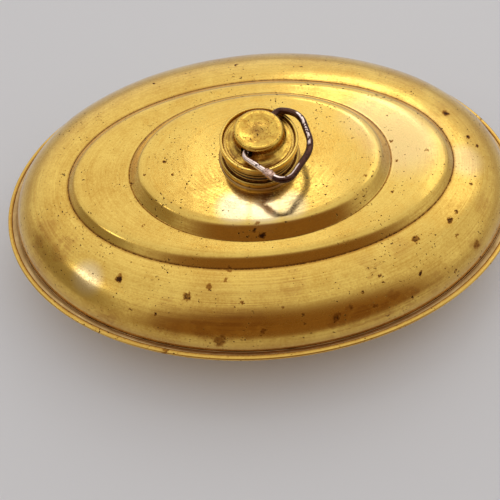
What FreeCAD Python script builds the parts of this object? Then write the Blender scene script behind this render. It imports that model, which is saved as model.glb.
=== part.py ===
import FreeCAD
import Part
import math
import os

from FreeCAD import Vector

# An oval brass hot water bottle: two pressed shells joined by a folded rim,
# a soldered filler neck, and a screw stopper with a knob and a wire bail.
# Millimetres. +X is the long way of the oval, +Z is up, and the origin is
# the middle of the base. Sizes across the oval are full lengths and widths.

# Pressed shells
SHEET = 0.8
RIM_LENGTH = 290.0
RIM_WIDTH = 198.0
SEAM_HEIGHT = 34.0
FLANGE_END = 6.5
FLANGE_SIDE = 3.8
HEM_RETURN = 2.6
HEM_CLEARANCE = 0.1
RIM_ROUND = 0.9

# Upper shell: the round shoulder, then two raised tiers
SHOULDER_HEIGHT = 24.0
SHOULDER_END = 35.0
SHOULDER_SIDE = 36.0
LOWER_RISER_HEIGHT = 4.4
LOWER_RISER_RUN = 5.5
LEDGE_END = 29.0
LEDGE_SIDE = 7.3
UPPER_RISER_HEIGHT = 6.6
UPPER_RISER_RUN = 6.5
CREST_ROUND = 2.4
CREASE_ROUND = 0.7

# Lower shell: the bowl, its standing ring and the raised base panel
BOWL_END = 40.0
BOWL_SIDE = 38.0
RING_WIDTH = 7.0
PANEL_RISE = 1.6
PANEL_RUN = 2.4
PANEL_ROUND = 0.9

# Filler neck, turned brass
NECK_BORE = 26.0
NECK_WALL = 3.0
NECK_FLANGE = 41.2
NECK_FLANGE_THICKNESS = 4.3
NECK_FLANGE_ROUND = 0.9
NECK_COLLAR = 37.2
NECK_HEIGHT = 5.4
SPIGOT_DEPTH = 6.0
SPIGOT_CLEARANCE = 0.1
TURNED_ROUND = 0.5

# Solder runs
RIM_SOLDER_STEP = 0.3
RIM_SOLDER_RISE = 1.8
RIM_SOLDER_LAND = 0.25
RIM_SOLDER_CLEARANCE = 0.02
NECK_SOLDER_LEG = 0.7

# Sealing washer
WASHER_THICKNESS = 2.0
WASHER_DIAMETER = 36.6
WASHER_CLEARANCE = 0.4

# Stopper: skirt, groove and thin lip round a dished top, over a hollow plug
SKIRT_DIAMETER = 37.6
SKIRT_HEIGHT = 1.3
GROOVE_DEPTH = 2.0
GROOVE_HEIGHT = 1.4
LIP_DIAMETER = 39.4
LIP_HEIGHT = 5.3
LIP_FOOT_ROUND = 1.9
LIP_THICKNESS = 1.5
DISH_DEPTH = 2.2
DISH_ROUND = 0.8
PLUG_LENGTH = 9.5
PLUG_WALL = 2.2
PLUG_BORE_DEPTH = 9.0
PLUG_CLEARANCE = 0.25
PLUG_CHAMFER = 0.8

# Knob: a dimpled cap over a slim waist and a flared foot, pegged into the dish
KNOB_DIAMETER = 24.6
KNOB_WAIST_DIAMETER = 22.2
KNOB_FOOT_DIAMETER = 33.2
KNOB_FOOT_THICKNESS = 0.6
KNOB_FLARE = 5.0
KNOB_HEIGHT = 9.8
KNOB_CAP_HEIGHT = 3.0
KNOB_ROUND = 1.7
KNOB_CAP_ROUND = 0.9
KNOB_WAIST_ROUND = 0.5
DIMPLE_DIAMETER = 19.4
DIMPLE_DEPTH = 1.0
PEG_DIAMETER = 7.0
PEG_LENGTH = 2.4
PEG_CLEARANCE = 0.05
BAIL_HOLE = 5.0

# Wire bail, flat over the lip at rest and hinged in the knob's cross hole
WIRE = 3.5
BAIL_CLEARANCE = 0.3
BAIL_BEARING = 53.0
BAIL_REACH = 26.3
BAIL_NEAR_FOOT = 14.4
BAIL_NEAR_SIDE = 17.6
BAIL_NEAR_FOOT_BEND = 3.0
BAIL_NEAR_BEND = 6.2
BAIL_FAR_FOOT = 17.8
BAIL_FAR_SIDE = 22.6
BAIL_FAR_SIDE_REACH = 10.2
BAIL_FAR_TIP = 7.7
BAIL_FAR_FOOT_BEND = 4.0
BAIL_FAR_SIDE_BEND = 10.8
BAIL_FAR_TIP_BEND = 16.0
BRAZE_PLACE = 16.2
BRAZE_LENGTH = 6.0
BRAZE_DIAMETER = 4.6
BRAZE_CLEARANCE = 0.02
BUTT_GAP = 0.5

# Two places closer than this are one
SAME_PLACE = 1e-6

# Heights worked out from the sizes above
SHOULDER_TOP = SEAM_HEIGHT + SHOULDER_HEIGHT
LEDGE_TOP = SHOULDER_TOP + LOWER_RISER_HEIGHT
PLATEAU = LEDGE_TOP + UPPER_RISER_HEIGHT
NECK_TOP = PLATEAU + NECK_HEIGHT
HEAD_BOTTOM = NECK_TOP + WASHER_THICKNESS
LIP_TOP = HEAD_BOTTOM + SKIRT_HEIGHT + GROOVE_HEIGHT + LIP_HEIGHT
DISH_FLOOR = LIP_TOP - DISH_DEPTH
KNOB_TOP = DISH_FLOOR + KNOB_HEIGHT
BAIL_AXIS = LIP_TOP + BAIL_CLEARANCE + WIRE / 2

PLUG_RADIUS = NECK_BORE / 2 - PLUG_CLEARANCE
SPIGOT_RADIUS = NECK_BORE / 2 + NECK_WALL
SHELL_HOLE_RADIUS = SPIGOT_RADIUS + SPIGOT_CLEARANCE


def station(half_length, half_width, height):
    """One level of an oval form: x and y are the oval's half axes, z its height."""
    return Vector(half_length, half_width, height)


def stepped(oval, end, side, rise):
    """The oval that lies further out by end and side, and higher by rise."""
    return oval + Vector(end, side, rise)


# Ovals that the pressings are drawn from, worked inwards from the rim
RIM = station(RIM_LENGTH / 2, RIM_WIDTH / 2, SEAM_HEIGHT)
FOOT = stepped(RIM, -FLANGE_END, -FLANGE_SIDE, 0)
LOWER_CREASE = stepped(FOOT, -SHOULDER_END, -SHOULDER_SIDE, SHOULDER_HEIGHT)
LOWER_CREST = stepped(LOWER_CREASE, -LOWER_RISER_RUN, -LOWER_RISER_RUN, LOWER_RISER_HEIGHT)
UPPER_CREASE = stepped(LOWER_CREST, -LEDGE_END, -LEDGE_SIDE, 0)
UPPER_CREST = stepped(UPPER_CREASE, -UPPER_RISER_RUN, -UPPER_RISER_RUN, UPPER_RISER_HEIGHT)
RING_OUTER = stepped(FOOT, -BOWL_END, -BOWL_SIDE, -SEAM_HEIGHT)
RING_INNER = stepped(RING_OUTER, -RING_WIDTH, -RING_WIDTH, 0)
PANEL = stepped(RING_INNER, -PANEL_RUN, -PANEL_RUN, PANEL_RISE)


def section(oval):
    """An oval's point in the section across the bottle's width."""
    return Vector(oval.y, oval.z, 0)


def setback_point(corner, neighbour, setback):
    """The point on the leg from corner to neighbour where a round of that setback starts."""
    leg = neighbour - corner
    length = section(leg).Length
    return corner + leg * min(setback / length, 1.0)


def section_turn(before, corner, after):
    """The angle by which the section turns at a corner."""
    return section(corner - before).getAngle(section(after - corner))


def spans_through(corners, closed):
    """Lines and conic rounds through a list of (oval, setback before, setback after).

    A span is a list of (oval, weight): two for a line, three for a round.
    """
    count = len(corners)
    spans = []
    ends = []
    for index, (oval, before, after) in enumerate(corners):
        if before == 0 and after == 0:
            ends.append((oval, oval))
            continue
        previous = corners[index - 1][0]
        following = corners[(index + 1) % count][0]
        start = setback_point(oval, previous, before)
        finish = setback_point(oval, following, after)
        weight = math.cos(section_turn(previous, oval, following) / 2)
        spans.append((index, [(start, 1.0), (oval, weight), (finish, 1.0)]))
        ends.append((start, finish))
    for index in range(count if closed else count - 1):
        start = ends[index][1]
        finish = ends[(index + 1) % count][0]
        if (finish - start).Length > SAME_PLACE:
            spans.append((index + 0.5, [(start, 1.0), (finish, 1.0)]))
    return [span for _, span in sorted(spans, key=lambda entry: entry[0])]


def oval_disc(oval):
    """A flat face that fills an oval."""
    axes = sorted(((oval.x, Vector(1, 0, 0)), (oval.y, Vector(0, 1, 0))), key=lambda axis: -axis[0])
    (major, along), (minor, across) = axes
    centre = Vector(0, 0, oval.z)
    ellipse = Part.Ellipse(centre + along * major, centre + across * minor, centre)
    half = [Part.Edge(ellipse, 0, math.pi), Part.Edge(ellipse, math.pi, 2 * math.pi)]
    return Part.Face(Part.Wire(half))


def is_level(span):
    """True if a span is a line that stays at one height."""
    return len(span) == 2 and abs(span[0][0].z - span[1][0].z) < SAME_PLACE


def oval_faces(span):
    """The faces that carry one span of the section round the oval.

    A level span is a flat oval band. Any other is two half faces: a half circle
    is two rational quadratic quarter arcs, so each face is exact, with the quarter
    arcs' corners times the span's half axes as its poles.
    """
    if is_level(span):
        smaller, larger = sorted((oval for oval, _ in span), key=lambda oval: oval.y)
        return oval_disc(larger).cut(oval_disc(smaller)).Faces
    faces = []
    diagonal = math.sqrt(0.5)
    for side in (1, -1):
        rounds = [(side, 0, 1), (side, side, diagonal), (0, side, 1), (-side, side, diagonal), (-side, 0, 1)]
        poles = [[Vector(oval.x * cx, oval.y * cy, oval.z) for cx, cy, _ in rounds] for oval, _ in span]
        weights = [[weight * share for _, _, share in rounds] for _, weight in span]
        degree = len(span) - 1
        surface = Part.BSplineSurface()
        surface.buildFromPolesMultsKnots(
            poles, [degree + 1] * 2, [3, 2, 3], [0, 1], [0, 1, 2], False, False, degree, 2, weights
        )
        faces.append(surface.toShape())
    return faces


def sewn_solid(faces):
    """One closed solid from faces that meet edge to edge."""
    shell = Part.makeShell(faces)
    shell.sewShape()
    solid = Part.makeSolid(shell)
    if solid.Volume < 0:
        solid.reverse()
    return solid


def oval_ring(corners):
    """A closed ring whose section runs round the given corners."""
    faces = []
    for span in spans_through(corners, closed=True):
        faces.extend(oval_faces(span))
    return sewn_solid(faces)


def oval_dish(corners):
    """A dish closed by a flat panel at the first and last corner."""
    faces = [oval_disc(corners[0][0]), oval_disc(corners[-1][0])]
    for span in spans_through(corners, closed=False):
        faces.extend(oval_faces(span))
    return sewn_solid(faces)


def sharp(oval):
    """A corner with no round."""
    return (oval, 0, 0)


def rounded(oval, setback):
    """A corner with the same setback on both legs."""
    return (oval, setback, setback)


def inside(oval, rise):
    """The oval one sheet further in and higher by rise."""
    return stepped(oval, -SHEET, -SHEET, rise)


def upper_shell():
    """The top pressing: plateau with the neck's hole, two tiers, shoulder and flange."""
    hole = station(SHELL_HOLE_RADIUS, SHELL_HOLE_RADIUS, PLATEAU)
    shoulder = station(FOOT.x, FOOT.y, SHOULDER_TOP)
    flange_inset = SHEET + HEM_CLEARANCE
    flange_edge = stepped(RIM, -flange_inset, -flange_inset, 0)
    return oval_ring([
        sharp(hole),
        rounded(UPPER_CREST, CREST_ROUND),
        rounded(UPPER_CREASE, CREASE_ROUND),
        rounded(LOWER_CREST, CREST_ROUND),
        sharp(LOWER_CREASE),
        (shoulder, SHOULDER_SIDE, SHOULDER_HEIGHT - SHEET),
        sharp(stepped(FOOT, 0, 0, SHEET)),
        sharp(stepped(flange_edge, 0, 0, SHEET)),
        sharp(flange_edge),
        sharp(inside(FOOT, 0)),
        (inside(shoulder, -SHEET), SHOULDER_HEIGHT - SHEET, SHOULDER_SIDE),
        sharp(inside(LOWER_CREASE, -SHEET)),
        rounded(inside(LOWER_CREST, -SHEET), CREST_ROUND),
        rounded(inside(UPPER_CREASE, -SHEET), CREASE_ROUND),
        rounded(inside(UPPER_CREST, -SHEET), CREST_ROUND),
        sharp(stepped(hole, 0, 0, -SHEET)),
    ])


def lower_shell():
    """The bottom pressing: raised panel, standing ring, bowl, and the rim hemmed over the flange."""
    bowl = station(FOOT.x, FOOT.y, 0)
    hem = stepped(RIM, -HEM_RETURN, -HEM_RETURN, 0)
    return oval_dish([
        sharp(PANEL),
        rounded(RING_INNER, PANEL_ROUND),
        (bowl, BOWL_SIDE, SEAM_HEIGHT - SHEET),
        sharp(stepped(FOOT, 0, 0, -SHEET)),
        rounded(stepped(RIM, 0, 0, -SHEET), RIM_ROUND),
        rounded(stepped(RIM, 0, 0, 2 * SHEET), RIM_ROUND),
        sharp(stepped(hem, 0, 0, 2 * SHEET)),
        sharp(stepped(hem, 0, 0, SHEET)),
        sharp(inside(RIM, SHEET)),
        sharp(inside(RIM, 0)),
        sharp(inside(FOOT, 0)),
        (inside(bowl, SHEET), SEAM_HEIGHT - SHEET, BOWL_SIDE),
        rounded(inside(RING_INNER, SHEET), PANEL_ROUND),
        sharp(inside(PANEL, SHEET)),
    ])


def rim_solder():
    """The sloping run of solder between the hem and the upper shell's foot."""
    hem = stepped(RIM, -HEM_RETURN, -HEM_RETURN, 0)
    foot = stepped(FOOT, RIM_SOLDER_CLEARANCE, RIM_SOLDER_CLEARANCE, 0)
    land = stepped(foot, RIM_SOLDER_LAND, RIM_SOLDER_LAND, 0)
    hem_top = 2 * SHEET
    return oval_ring([
        sharp(stepped(foot, 0, 0, SHEET)),
        sharp(stepped(foot, 0, 0, hem_top + RIM_SOLDER_RISE)),
        sharp(stepped(land, 0, 0, hem_top + RIM_SOLDER_RISE)),
        sharp(stepped(hem, 0, 0, hem_top - RIM_SOLDER_STEP)),
        sharp(stepped(hem, 0, 0, SHEET)),
    ])


def rounded_outline(corners):
    """A closed wire in the XZ plane through (radius, height, round), with arcs at the rounds."""
    count = len(corners)
    points = [Vector(radius, 0, height) for radius, height, _ in corners]
    ends = []
    edges = []
    for index, (_, _, round_radius) in enumerate(corners):
        corner = points[index]
        if round_radius == 0:
            ends.append((corner, corner))
            continue
        to_previous = (points[index - 1] - corner).normalize()
        to_next = (points[(index + 1) % count] - corner).normalize()
        half_angle = to_previous.getAngle(to_next) / 2
        setback = round_radius / math.tan(half_angle)
        start = corner + to_previous * setback
        finish = corner + to_next * setback
        bisector = (to_previous + to_next).normalize()
        centre = corner + bisector * (round_radius / math.sin(half_angle))
        middle = centre - bisector * round_radius
        edges.append((index, Part.Arc(start, middle, finish).toShape()))
        ends.append((start, finish))
    for index in range(count):
        start = ends[index][1]
        finish = ends[(index + 1) % count][0]
        if (finish - start).Length > SAME_PLACE:
            edges.append((index + 0.5, Part.LineSegment(start, finish).toShape()))
    return Part.Wire([edge for _, edge in sorted(edges, key=lambda entry: entry[0])])


def turned(corners):
    """A solid of revolution about the bottle's upright axis."""
    profile = Part.Face(rounded_outline(corners))
    return profile.revolve(Vector(0, 0, 0), Vector(0, 0, 1), 360)


def filler_neck():
    """The turned neck: spigot through the shell, flange on the plateau, collar under the washer."""
    bore = NECK_BORE / 2
    spigot_end = PLATEAU - SHEET - SPIGOT_DEPTH
    flange_top = PLATEAU + NECK_FLANGE_THICKNESS
    return turned([
        (bore, spigot_end, 0),
        (SPIGOT_RADIUS, spigot_end, 0),
        (SPIGOT_RADIUS, PLATEAU, 0),
        (NECK_FLANGE / 2, PLATEAU, 0),
        (NECK_FLANGE / 2, flange_top, NECK_FLANGE_ROUND),
        (NECK_COLLAR / 2, flange_top, 0),
        (NECK_COLLAR / 2, NECK_TOP, TURNED_ROUND),
        (bore, NECK_TOP, TURNED_ROUND),
    ])


def neck_solder():
    """The solder run round the neck's flange."""
    inner = NECK_FLANGE / 2
    return turned([
        (inner, PLATEAU, 0),
        (inner + NECK_SOLDER_LEG, PLATEAU, 0),
        (inner, PLATEAU + NECK_SOLDER_LEG, 0),
    ])


def sealing_washer():
    """The flat washer that the stopper presses on to the neck."""
    inner = PLUG_RADIUS + WASHER_CLEARANCE
    return turned([
        (inner, NECK_TOP, 0),
        (WASHER_DIAMETER / 2, NECK_TOP, 0),
        (WASHER_DIAMETER / 2, HEAD_BOTTOM, 0),
        (inner, HEAD_BOTTOM, 0),
    ])


def stopper_body():
    """The turned stopper: hollow plug below, grooved head with a dished top above."""
    plug_end = NECK_TOP - PLUG_LENGTH
    bore_radius = PLUG_RADIUS - PLUG_WALL
    skirt_top = HEAD_BOTTOM + SKIRT_HEIGHT
    groove_top = skirt_top + GROOVE_HEIGHT
    groove_radius = LIP_DIAMETER / 2 - GROOVE_DEPTH
    lip_inner = LIP_DIAMETER / 2 - LIP_THICKNESS
    peg_radius = PEG_DIAMETER / 2 + PEG_CLEARANCE
    return turned([
        (0, plug_end + PLUG_BORE_DEPTH, 0),
        (bore_radius, plug_end + PLUG_BORE_DEPTH, 0),
        (bore_radius, plug_end, 0),
        (PLUG_RADIUS - PLUG_CHAMFER, plug_end, 0),
        (PLUG_RADIUS, plug_end + PLUG_CHAMFER, 0),
        (PLUG_RADIUS, HEAD_BOTTOM, 0),
        (SKIRT_DIAMETER / 2, HEAD_BOTTOM, TURNED_ROUND),
        (SKIRT_DIAMETER / 2, skirt_top, TURNED_ROUND),
        (groove_radius, skirt_top, 0),
        (groove_radius, groove_top, 0),
        (LIP_DIAMETER / 2, groove_top, LIP_FOOT_ROUND),
        (LIP_DIAMETER / 2, LIP_TOP, TURNED_ROUND),
        (lip_inner, LIP_TOP, TURNED_ROUND),
        (lip_inner, DISH_FLOOR, DISH_ROUND),
        (peg_radius, DISH_FLOOR, 0),
        (peg_radius, DISH_FLOOR - PEG_LENGTH - PEG_CLEARANCE, 0),
        (0, DISH_FLOOR - PEG_LENGTH - PEG_CLEARANCE, 0),
    ])


def bail_direction():
    """The unit vector along the knob's cross hole."""
    bearing = math.radians(BAIL_BEARING)
    return Vector(math.cos(bearing), math.sin(bearing), 0)


def stopper_knob():
    """The knob: dimpled cap over a waist that flares to its foot, peg below and a cross hole for the bail."""
    cap_bottom = KNOB_TOP - KNOB_CAP_HEIGHT
    foot_top = DISH_FLOOR + KNOB_FOOT_THICKNESS
    blank = turned([
        (0, DISH_FLOOR - PEG_LENGTH, 0),
        (PEG_DIAMETER / 2, DISH_FLOOR - PEG_LENGTH, 0),
        (PEG_DIAMETER / 2, DISH_FLOOR, 0),
        (KNOB_FOOT_DIAMETER / 2, DISH_FLOOR, 0),
        (KNOB_FOOT_DIAMETER / 2, foot_top, 0),
        (KNOB_WAIST_DIAMETER / 2, foot_top, KNOB_FLARE),
        (KNOB_WAIST_DIAMETER / 2, cap_bottom, KNOB_WAIST_ROUND),
        (KNOB_DIAMETER / 2, cap_bottom, KNOB_CAP_ROUND),
        (KNOB_DIAMETER / 2, KNOB_TOP, KNOB_ROUND),
        (DIMPLE_DIAMETER / 2, KNOB_TOP, 0),
        (0, KNOB_TOP - DIMPLE_DEPTH, 0),
    ])
    along = bail_direction()
    start = Vector(0, 0, BAIL_AXIS) - along * KNOB_DIAMETER
    return blank.cut(Part.makeCylinder(BAIL_HOLE / 2, 2 * KNOB_DIAMETER, start, along))


def bail_point(along_hole, reach):
    """A point of the bail's flat plane, along the cross hole and out from it."""
    along = bail_direction()
    out = Vector(along.y, -along.x, 0)
    return Vector(0, 0, BAIL_AXIS) + along * along_hole + out * reach


def near_leg_point(reach):
    """A point on the near leg's centre line, which leans out from its foot."""
    share = reach / BAIL_REACH
    return bail_point(-BAIL_NEAR_FOOT - (BAIL_NEAR_SIDE - BAIL_NEAR_FOOT) * share, reach)


def bail_path():
    """The bail's centre line: straight runs and tangent arcs, open at the butt joint."""
    corners = [
        (near_leg_point(0), BAIL_NEAR_FOOT_BEND),
        (bail_point(BAIL_FAR_FOOT, 0), BAIL_FAR_FOOT_BEND),
        (bail_point(BAIL_FAR_SIDE, BAIL_FAR_SIDE_REACH), BAIL_FAR_SIDE_BEND),
        (bail_point(BAIL_FAR_TIP, BAIL_REACH), BAIL_FAR_TIP_BEND),
        (near_leg_point(BAIL_REACH), BAIL_NEAR_BEND),
    ]
    start = near_leg_point(BRAZE_PLACE - BUTT_GAP / 2)
    finish = near_leg_point(BRAZE_PLACE + BUTT_GAP / 2)
    points = [start] + [corner for corner, _ in corners] + [finish]
    edges = []
    reached = start
    for index, (corner, bend) in enumerate(corners, start=1):
        to_previous = (points[index - 1] - corner).normalize()
        to_next = (points[index + 1] - corner).normalize()
        half_angle = to_previous.getAngle(to_next) / 2
        bisector = (to_previous + to_next).normalize()
        arc_start = corner + to_previous * (bend / math.tan(half_angle))
        arc_finish = corner + to_next * (bend / math.tan(half_angle))
        arc_middle = corner + bisector * (bend / math.sin(half_angle) - bend)
        edges.append(Part.LineSegment(reached, arc_start).toShape())
        edges.append(Part.Arc(arc_start, arc_middle, arc_finish).toShape())
        reached = arc_finish
    edges.append(Part.LineSegment(reached, finish).toShape())
    return Part.Wire(edges)


def bail_ring():
    """The bent wire of the bail."""
    path = bail_path()
    start = path.Edges[0].valueAt(path.Edges[0].FirstParameter)
    heading = path.Edges[0].tangentAt(path.Edges[0].FirstParameter)
    circle = Part.Wire(Part.makeCircle(WIRE / 2, start, heading))
    return path.makePipeShell([circle], True, False)


def bail_braze():
    """The barrel of braze over the bail's butt joint."""
    heading = (near_leg_point(BAIL_REACH) - near_leg_point(0)).normalize()
    start = near_leg_point(BRAZE_PLACE) - heading * (BRAZE_LENGTH / 2)
    bore = WIRE / 2 + BRAZE_CLEARANCE
    side = heading.cross(Vector(0, 0, 1))
    swell = (BRAZE_DIAMETER - WIRE) / 2
    near = start + side * bore
    far = near + heading * BRAZE_LENGTH
    middle = near + heading * (BRAZE_LENGTH / 2) + side * (swell - BRAZE_CLEARANCE)
    outline = Part.Wire([Part.Arc(near, middle, far).toShape(), Part.LineSegment(far, near).toShape()])
    return Part.Face(outline).revolve(start, heading, 360)


PIECES = {
    "lower_shell": lower_shell,
    "upper_shell": upper_shell,
    "rim_solder": rim_solder,
    "filler_neck": filler_neck,
    "neck_solder": neck_solder,
    "sealing_washer": sealing_washer,
    "stopper_body": stopper_body,
    "stopper_knob": stopper_knob,
    "bail_ring": bail_ring,
    "bail_braze": bail_braze,
}

os.makedirs("parts", exist_ok=True)
for name, make in PIECES.items():
    shape = make()
    shape.exportStep(os.path.join("parts", name + ".step"))
    print(f"{name}: {shape.Volume / 1000:.2f} cm3, valid {shape.isValid()}, solids {len(shape.Solids)}")
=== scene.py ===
"""Looks of an oval brass hot water bottle: pressed shells, soldered seams, screw stopper and wire bail."""
import logging
import math
from dataclasses import dataclass, replace
from enum import Enum
from functools import cached_property
from typing import Sequence

import bpy
import numpy as np
from mathutils import Matrix, Vector


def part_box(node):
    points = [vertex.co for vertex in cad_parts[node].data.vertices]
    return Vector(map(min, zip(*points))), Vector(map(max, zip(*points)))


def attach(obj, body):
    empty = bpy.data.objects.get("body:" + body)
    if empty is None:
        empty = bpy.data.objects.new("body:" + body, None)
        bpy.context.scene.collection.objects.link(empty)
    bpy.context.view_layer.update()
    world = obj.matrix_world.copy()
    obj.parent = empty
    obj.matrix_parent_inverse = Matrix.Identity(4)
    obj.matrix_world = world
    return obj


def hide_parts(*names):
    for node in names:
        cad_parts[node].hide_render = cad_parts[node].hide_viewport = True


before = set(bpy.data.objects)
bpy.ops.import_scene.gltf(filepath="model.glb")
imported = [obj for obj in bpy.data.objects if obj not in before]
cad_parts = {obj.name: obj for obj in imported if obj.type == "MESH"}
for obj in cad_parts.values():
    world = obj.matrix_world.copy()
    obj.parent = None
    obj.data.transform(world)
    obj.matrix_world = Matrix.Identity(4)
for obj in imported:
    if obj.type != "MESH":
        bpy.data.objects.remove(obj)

Array = np.ndarray
Colour = tuple[float, float, float]
Direction = tuple[float, float, float]
Socket = bpy.types.NodeSocket
Thing = bpy.types.Object
# A span runs from its first number to its second, and a ramp maps such a span to another one.
Span = tuple[float, float]
Ramp = tuple[float, float, float, float]

LOG = logging.getLogger("hot_water_bottle")
MM = 0.001
FULL_TURN = 2 * math.pi
UP: Direction = (0.0, 0.0, 1.0)
DOWN: Direction = (0.0, 0.0, -1.0)
RIPPLE_WAVES = 16
RIPPLE_LENGTHS: Span = (0.6, 1.8)
FEWEST_ON_ROUND = 7
SAME_PLACE = 1e-3 * MM
NO_LENGTH = 1e-9
NO_AREA = 1e-12
SHARP_EDGE = 0.1 * MM
BROKEN_EDGE = 0.2 * MM
NOISE_MIDDLE = 0.5
PHOTO_SIZE = 500


class Body(Enum):
    """The rigid bodies that the pieces ride on."""

    BOTTLE = "bottle"
    WASHER = "washer"
    STOPPER = "stopper"
    BAIL = "bail"


class Slot(Enum):
    """The record's material slots."""

    SHELL = "shell_brass"
    TURNED = "turned_brass"
    KNOB = "knob_brass"
    WIRE = "wire_brass"
    BRAZE = "braze"
    SOLDER = "solder"
    LEATHER = "washer_leather"


class Carried(Enum):
    """Values that a mesh carries on its vertices for its material to read."""

    SWEEP = "sweep"
    GRIME = "grime"
    WEAR = "wear"
    AGE = "age"


class Noise(Enum):
    """How rich a noise is: the number of its finer layers, and how strong each is beside the one before."""

    SOFT = (2.0, 0.5)
    CLOUDY = (3.0, 0.6)
    RICH = (4.0, 0.6)
    STREAKED = (4.0, 0.65)


def smoothstep(value: Array, low: float, high: float) -> Array:
    """The cubic that goes from 0 at low to 1 at high."""
    share = np.clip((value - low) / (high - low), 0.0, 1.0)
    return share * share * (3.0 - 2.0 * share)


def ripples(points: Array, wavelength: float, seed: int, limit: float = math.inf) -> Array:
    """Smooth irregularity, mostly between -1 and 1.

    The formula is a sum of sine waves, each with its own random heading, length and phase, over the square
    root of their number.

    Args:
        points: places to work it out for, with x, y and z on the last axis.
        wavelength: middle length of the waves, in metres.
        seed: start of the random draws.
        limit: the most that it may be either way.

    Returns:
        One value for each place.
    """
    draw = np.random.default_rng(seed)
    headings = draw.normal(size=(RIPPLE_WAVES, 3))
    headings /= np.linalg.norm(headings, axis=1, keepdims=True)
    numbers = FULL_TURN / (wavelength * draw.uniform(*RIPPLE_LENGTHS, size=(RIPPLE_WAVES, 1)))
    phases = draw.uniform(0.0, FULL_TURN, size=RIPPLE_WAVES)
    waves = np.sin(points @ (headings * numbers).T + phases)
    return (waves.sum(axis=-1) / math.sqrt(RIPPLE_WAVES)).clip(-limit, limit)


def circle_in(side: Array, lift: Array, count: int) -> Array:
    """Unit circles: side times the cosine of the turn plus lift times its sine.

    Args:
        side: direction of each circle's start, or of the only one.
        lift: direction a quarter turn on.
        count: points on a circle.

    Returns:
        The points, with the circles on the first axis where there are several.
    """
    turn = np.arange(count) * (FULL_TURN / count)
    return side[..., None, :] * np.cos(turn)[:, None] + lift[..., None, :] * np.sin(turn)[:, None]


@dataclass(frozen=True)
class Corner:
    """A corner of a section: the oval's half axes and height there, its round, and its dirt, wear and age;
    dirt and age also paint shade at some corners.
    """

    half_length: float
    half_width: float
    height: float
    before: float = 0.0
    after: float = 0.0
    grime: float = 0.0
    wear: float = 0.0
    # Brown of age; at some corners it paints shade.
    age: float = 0.0
    age_and_shade_reach: float = 4.0 * MM

    def stepped(self, end: float, side: float, rise: float = 0.0) -> "Corner":
        """The plain corner that lies further out by end and side, and higher by rise."""
        return Corner(self.half_length + end, self.half_width + side, self.height + rise)

    def inset(self, depth: float, rise: float = 0.0) -> "Corner":
        """The plain corner that lies further in by depth all round, and higher by rise."""
        return self.stepped(-depth, -depth, rise)

    def lifted(self, rise: float) -> "Corner":
        """The plain corner that lies higher by rise."""
        return self.stepped(0.0, 0.0, rise)

    def rounded(
        self, before: float, after: float | None = None, grime: float = 0.0, wear: float = 0.0
    ) -> "Corner":
        """The same corner with a round, dirt that at some corners is painted shade, and wear; the round is
        even where after is left out.
        """
        even = before if after is None else after
        return replace(self, before=before, after=even, grime=grime, wear=wear)

    def aged_and_shaded(self, amount: float, reach: float) -> "Corner":
        """The same corner with a brown that reaches some way along the section: age at some corners, painted
        shade at others.
        """
        return replace(self, age=amount, age_and_shade_reach=reach)


def ring(radius: float, height: float, round_: float = 0.0, grime: float = 0.0, wear: float = 0.0) -> Corner:
    """A corner of a turned piece, where the oval is a circle."""
    return Corner(radius, radius, height, round_, round_, grime, wear)


def shares_along(count: int, tight: float) -> Array:
    """Shares from 0 to 1 as a column: even steps less tight times a sine, which crowds them at both ends."""
    even = np.linspace(0.0, 1.0, count)[:, None]
    return even - tight * np.sin(FULL_TURN * even) / FULL_TURN


def straight_run(start: Array, finish: Array, step: float, tight: float) -> Array:
    """Samples a straight run without its ends: start and finish mixed by shares along it.

    Args:
        start: the run's first point.
        finish: its last point.
        step: spacing of the samples.
        tight: how much they crowd at its ends, from 0 to 1.

    Returns:
        The samples between the two points, which may be none.
    """
    count = max(1, math.ceil(np.linalg.norm(finish - start) / step)) + 1
    shares = shares_along(count, tight)[1:-1]
    return start * (1 - shares) + finish * shares


def set_back(corner: Array, other: Array, setback: float, across: slice) -> Array:
    """The point on a corner's leg that lies one setback from the corner, and never past the other corner."""
    leg = other - corner
    return corner + leg * min(setback / max(np.linalg.norm(leg[across]), NO_LENGTH), 1.0)


def bend_weight(last: Array, corner: Array, following: Array) -> float:
    """Cosine of half the turn at a corner: the weight that makes an even round a circular arc.

    Args:
        last: the corner before.
        corner: the corner itself.
        following: the corner after.

    Returns:
        The weight.
    """
    into, away = corner - last, following - corner
    cosine = np.dot(into, away) / (np.linalg.norm(into) * np.linalg.norm(away))
    return math.cos(math.acos(np.clip(cosine, -1.0, 1.0)) / 2)


def conic_round(start: Array, corner: Array, finish: Array, weight: float, count: int) -> Array:
    """Samples a round: the rational quadratic curve from start to finish.

    Args:
        start: the round's first point.
        corner: the corner that draws it out.
        finish: its last point.
        weight: how strongly the corner draws.
        count: how many samples.

    Returns:
        The samples, with both ends.
    """
    share = shares_along(count, 0.0)
    first, middle, last = (1 - share) ** 2, 2 * weight * share * (1 - share), share**2
    return (first * start + middle * corner + last * finish) / (first + middle + last)


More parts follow.
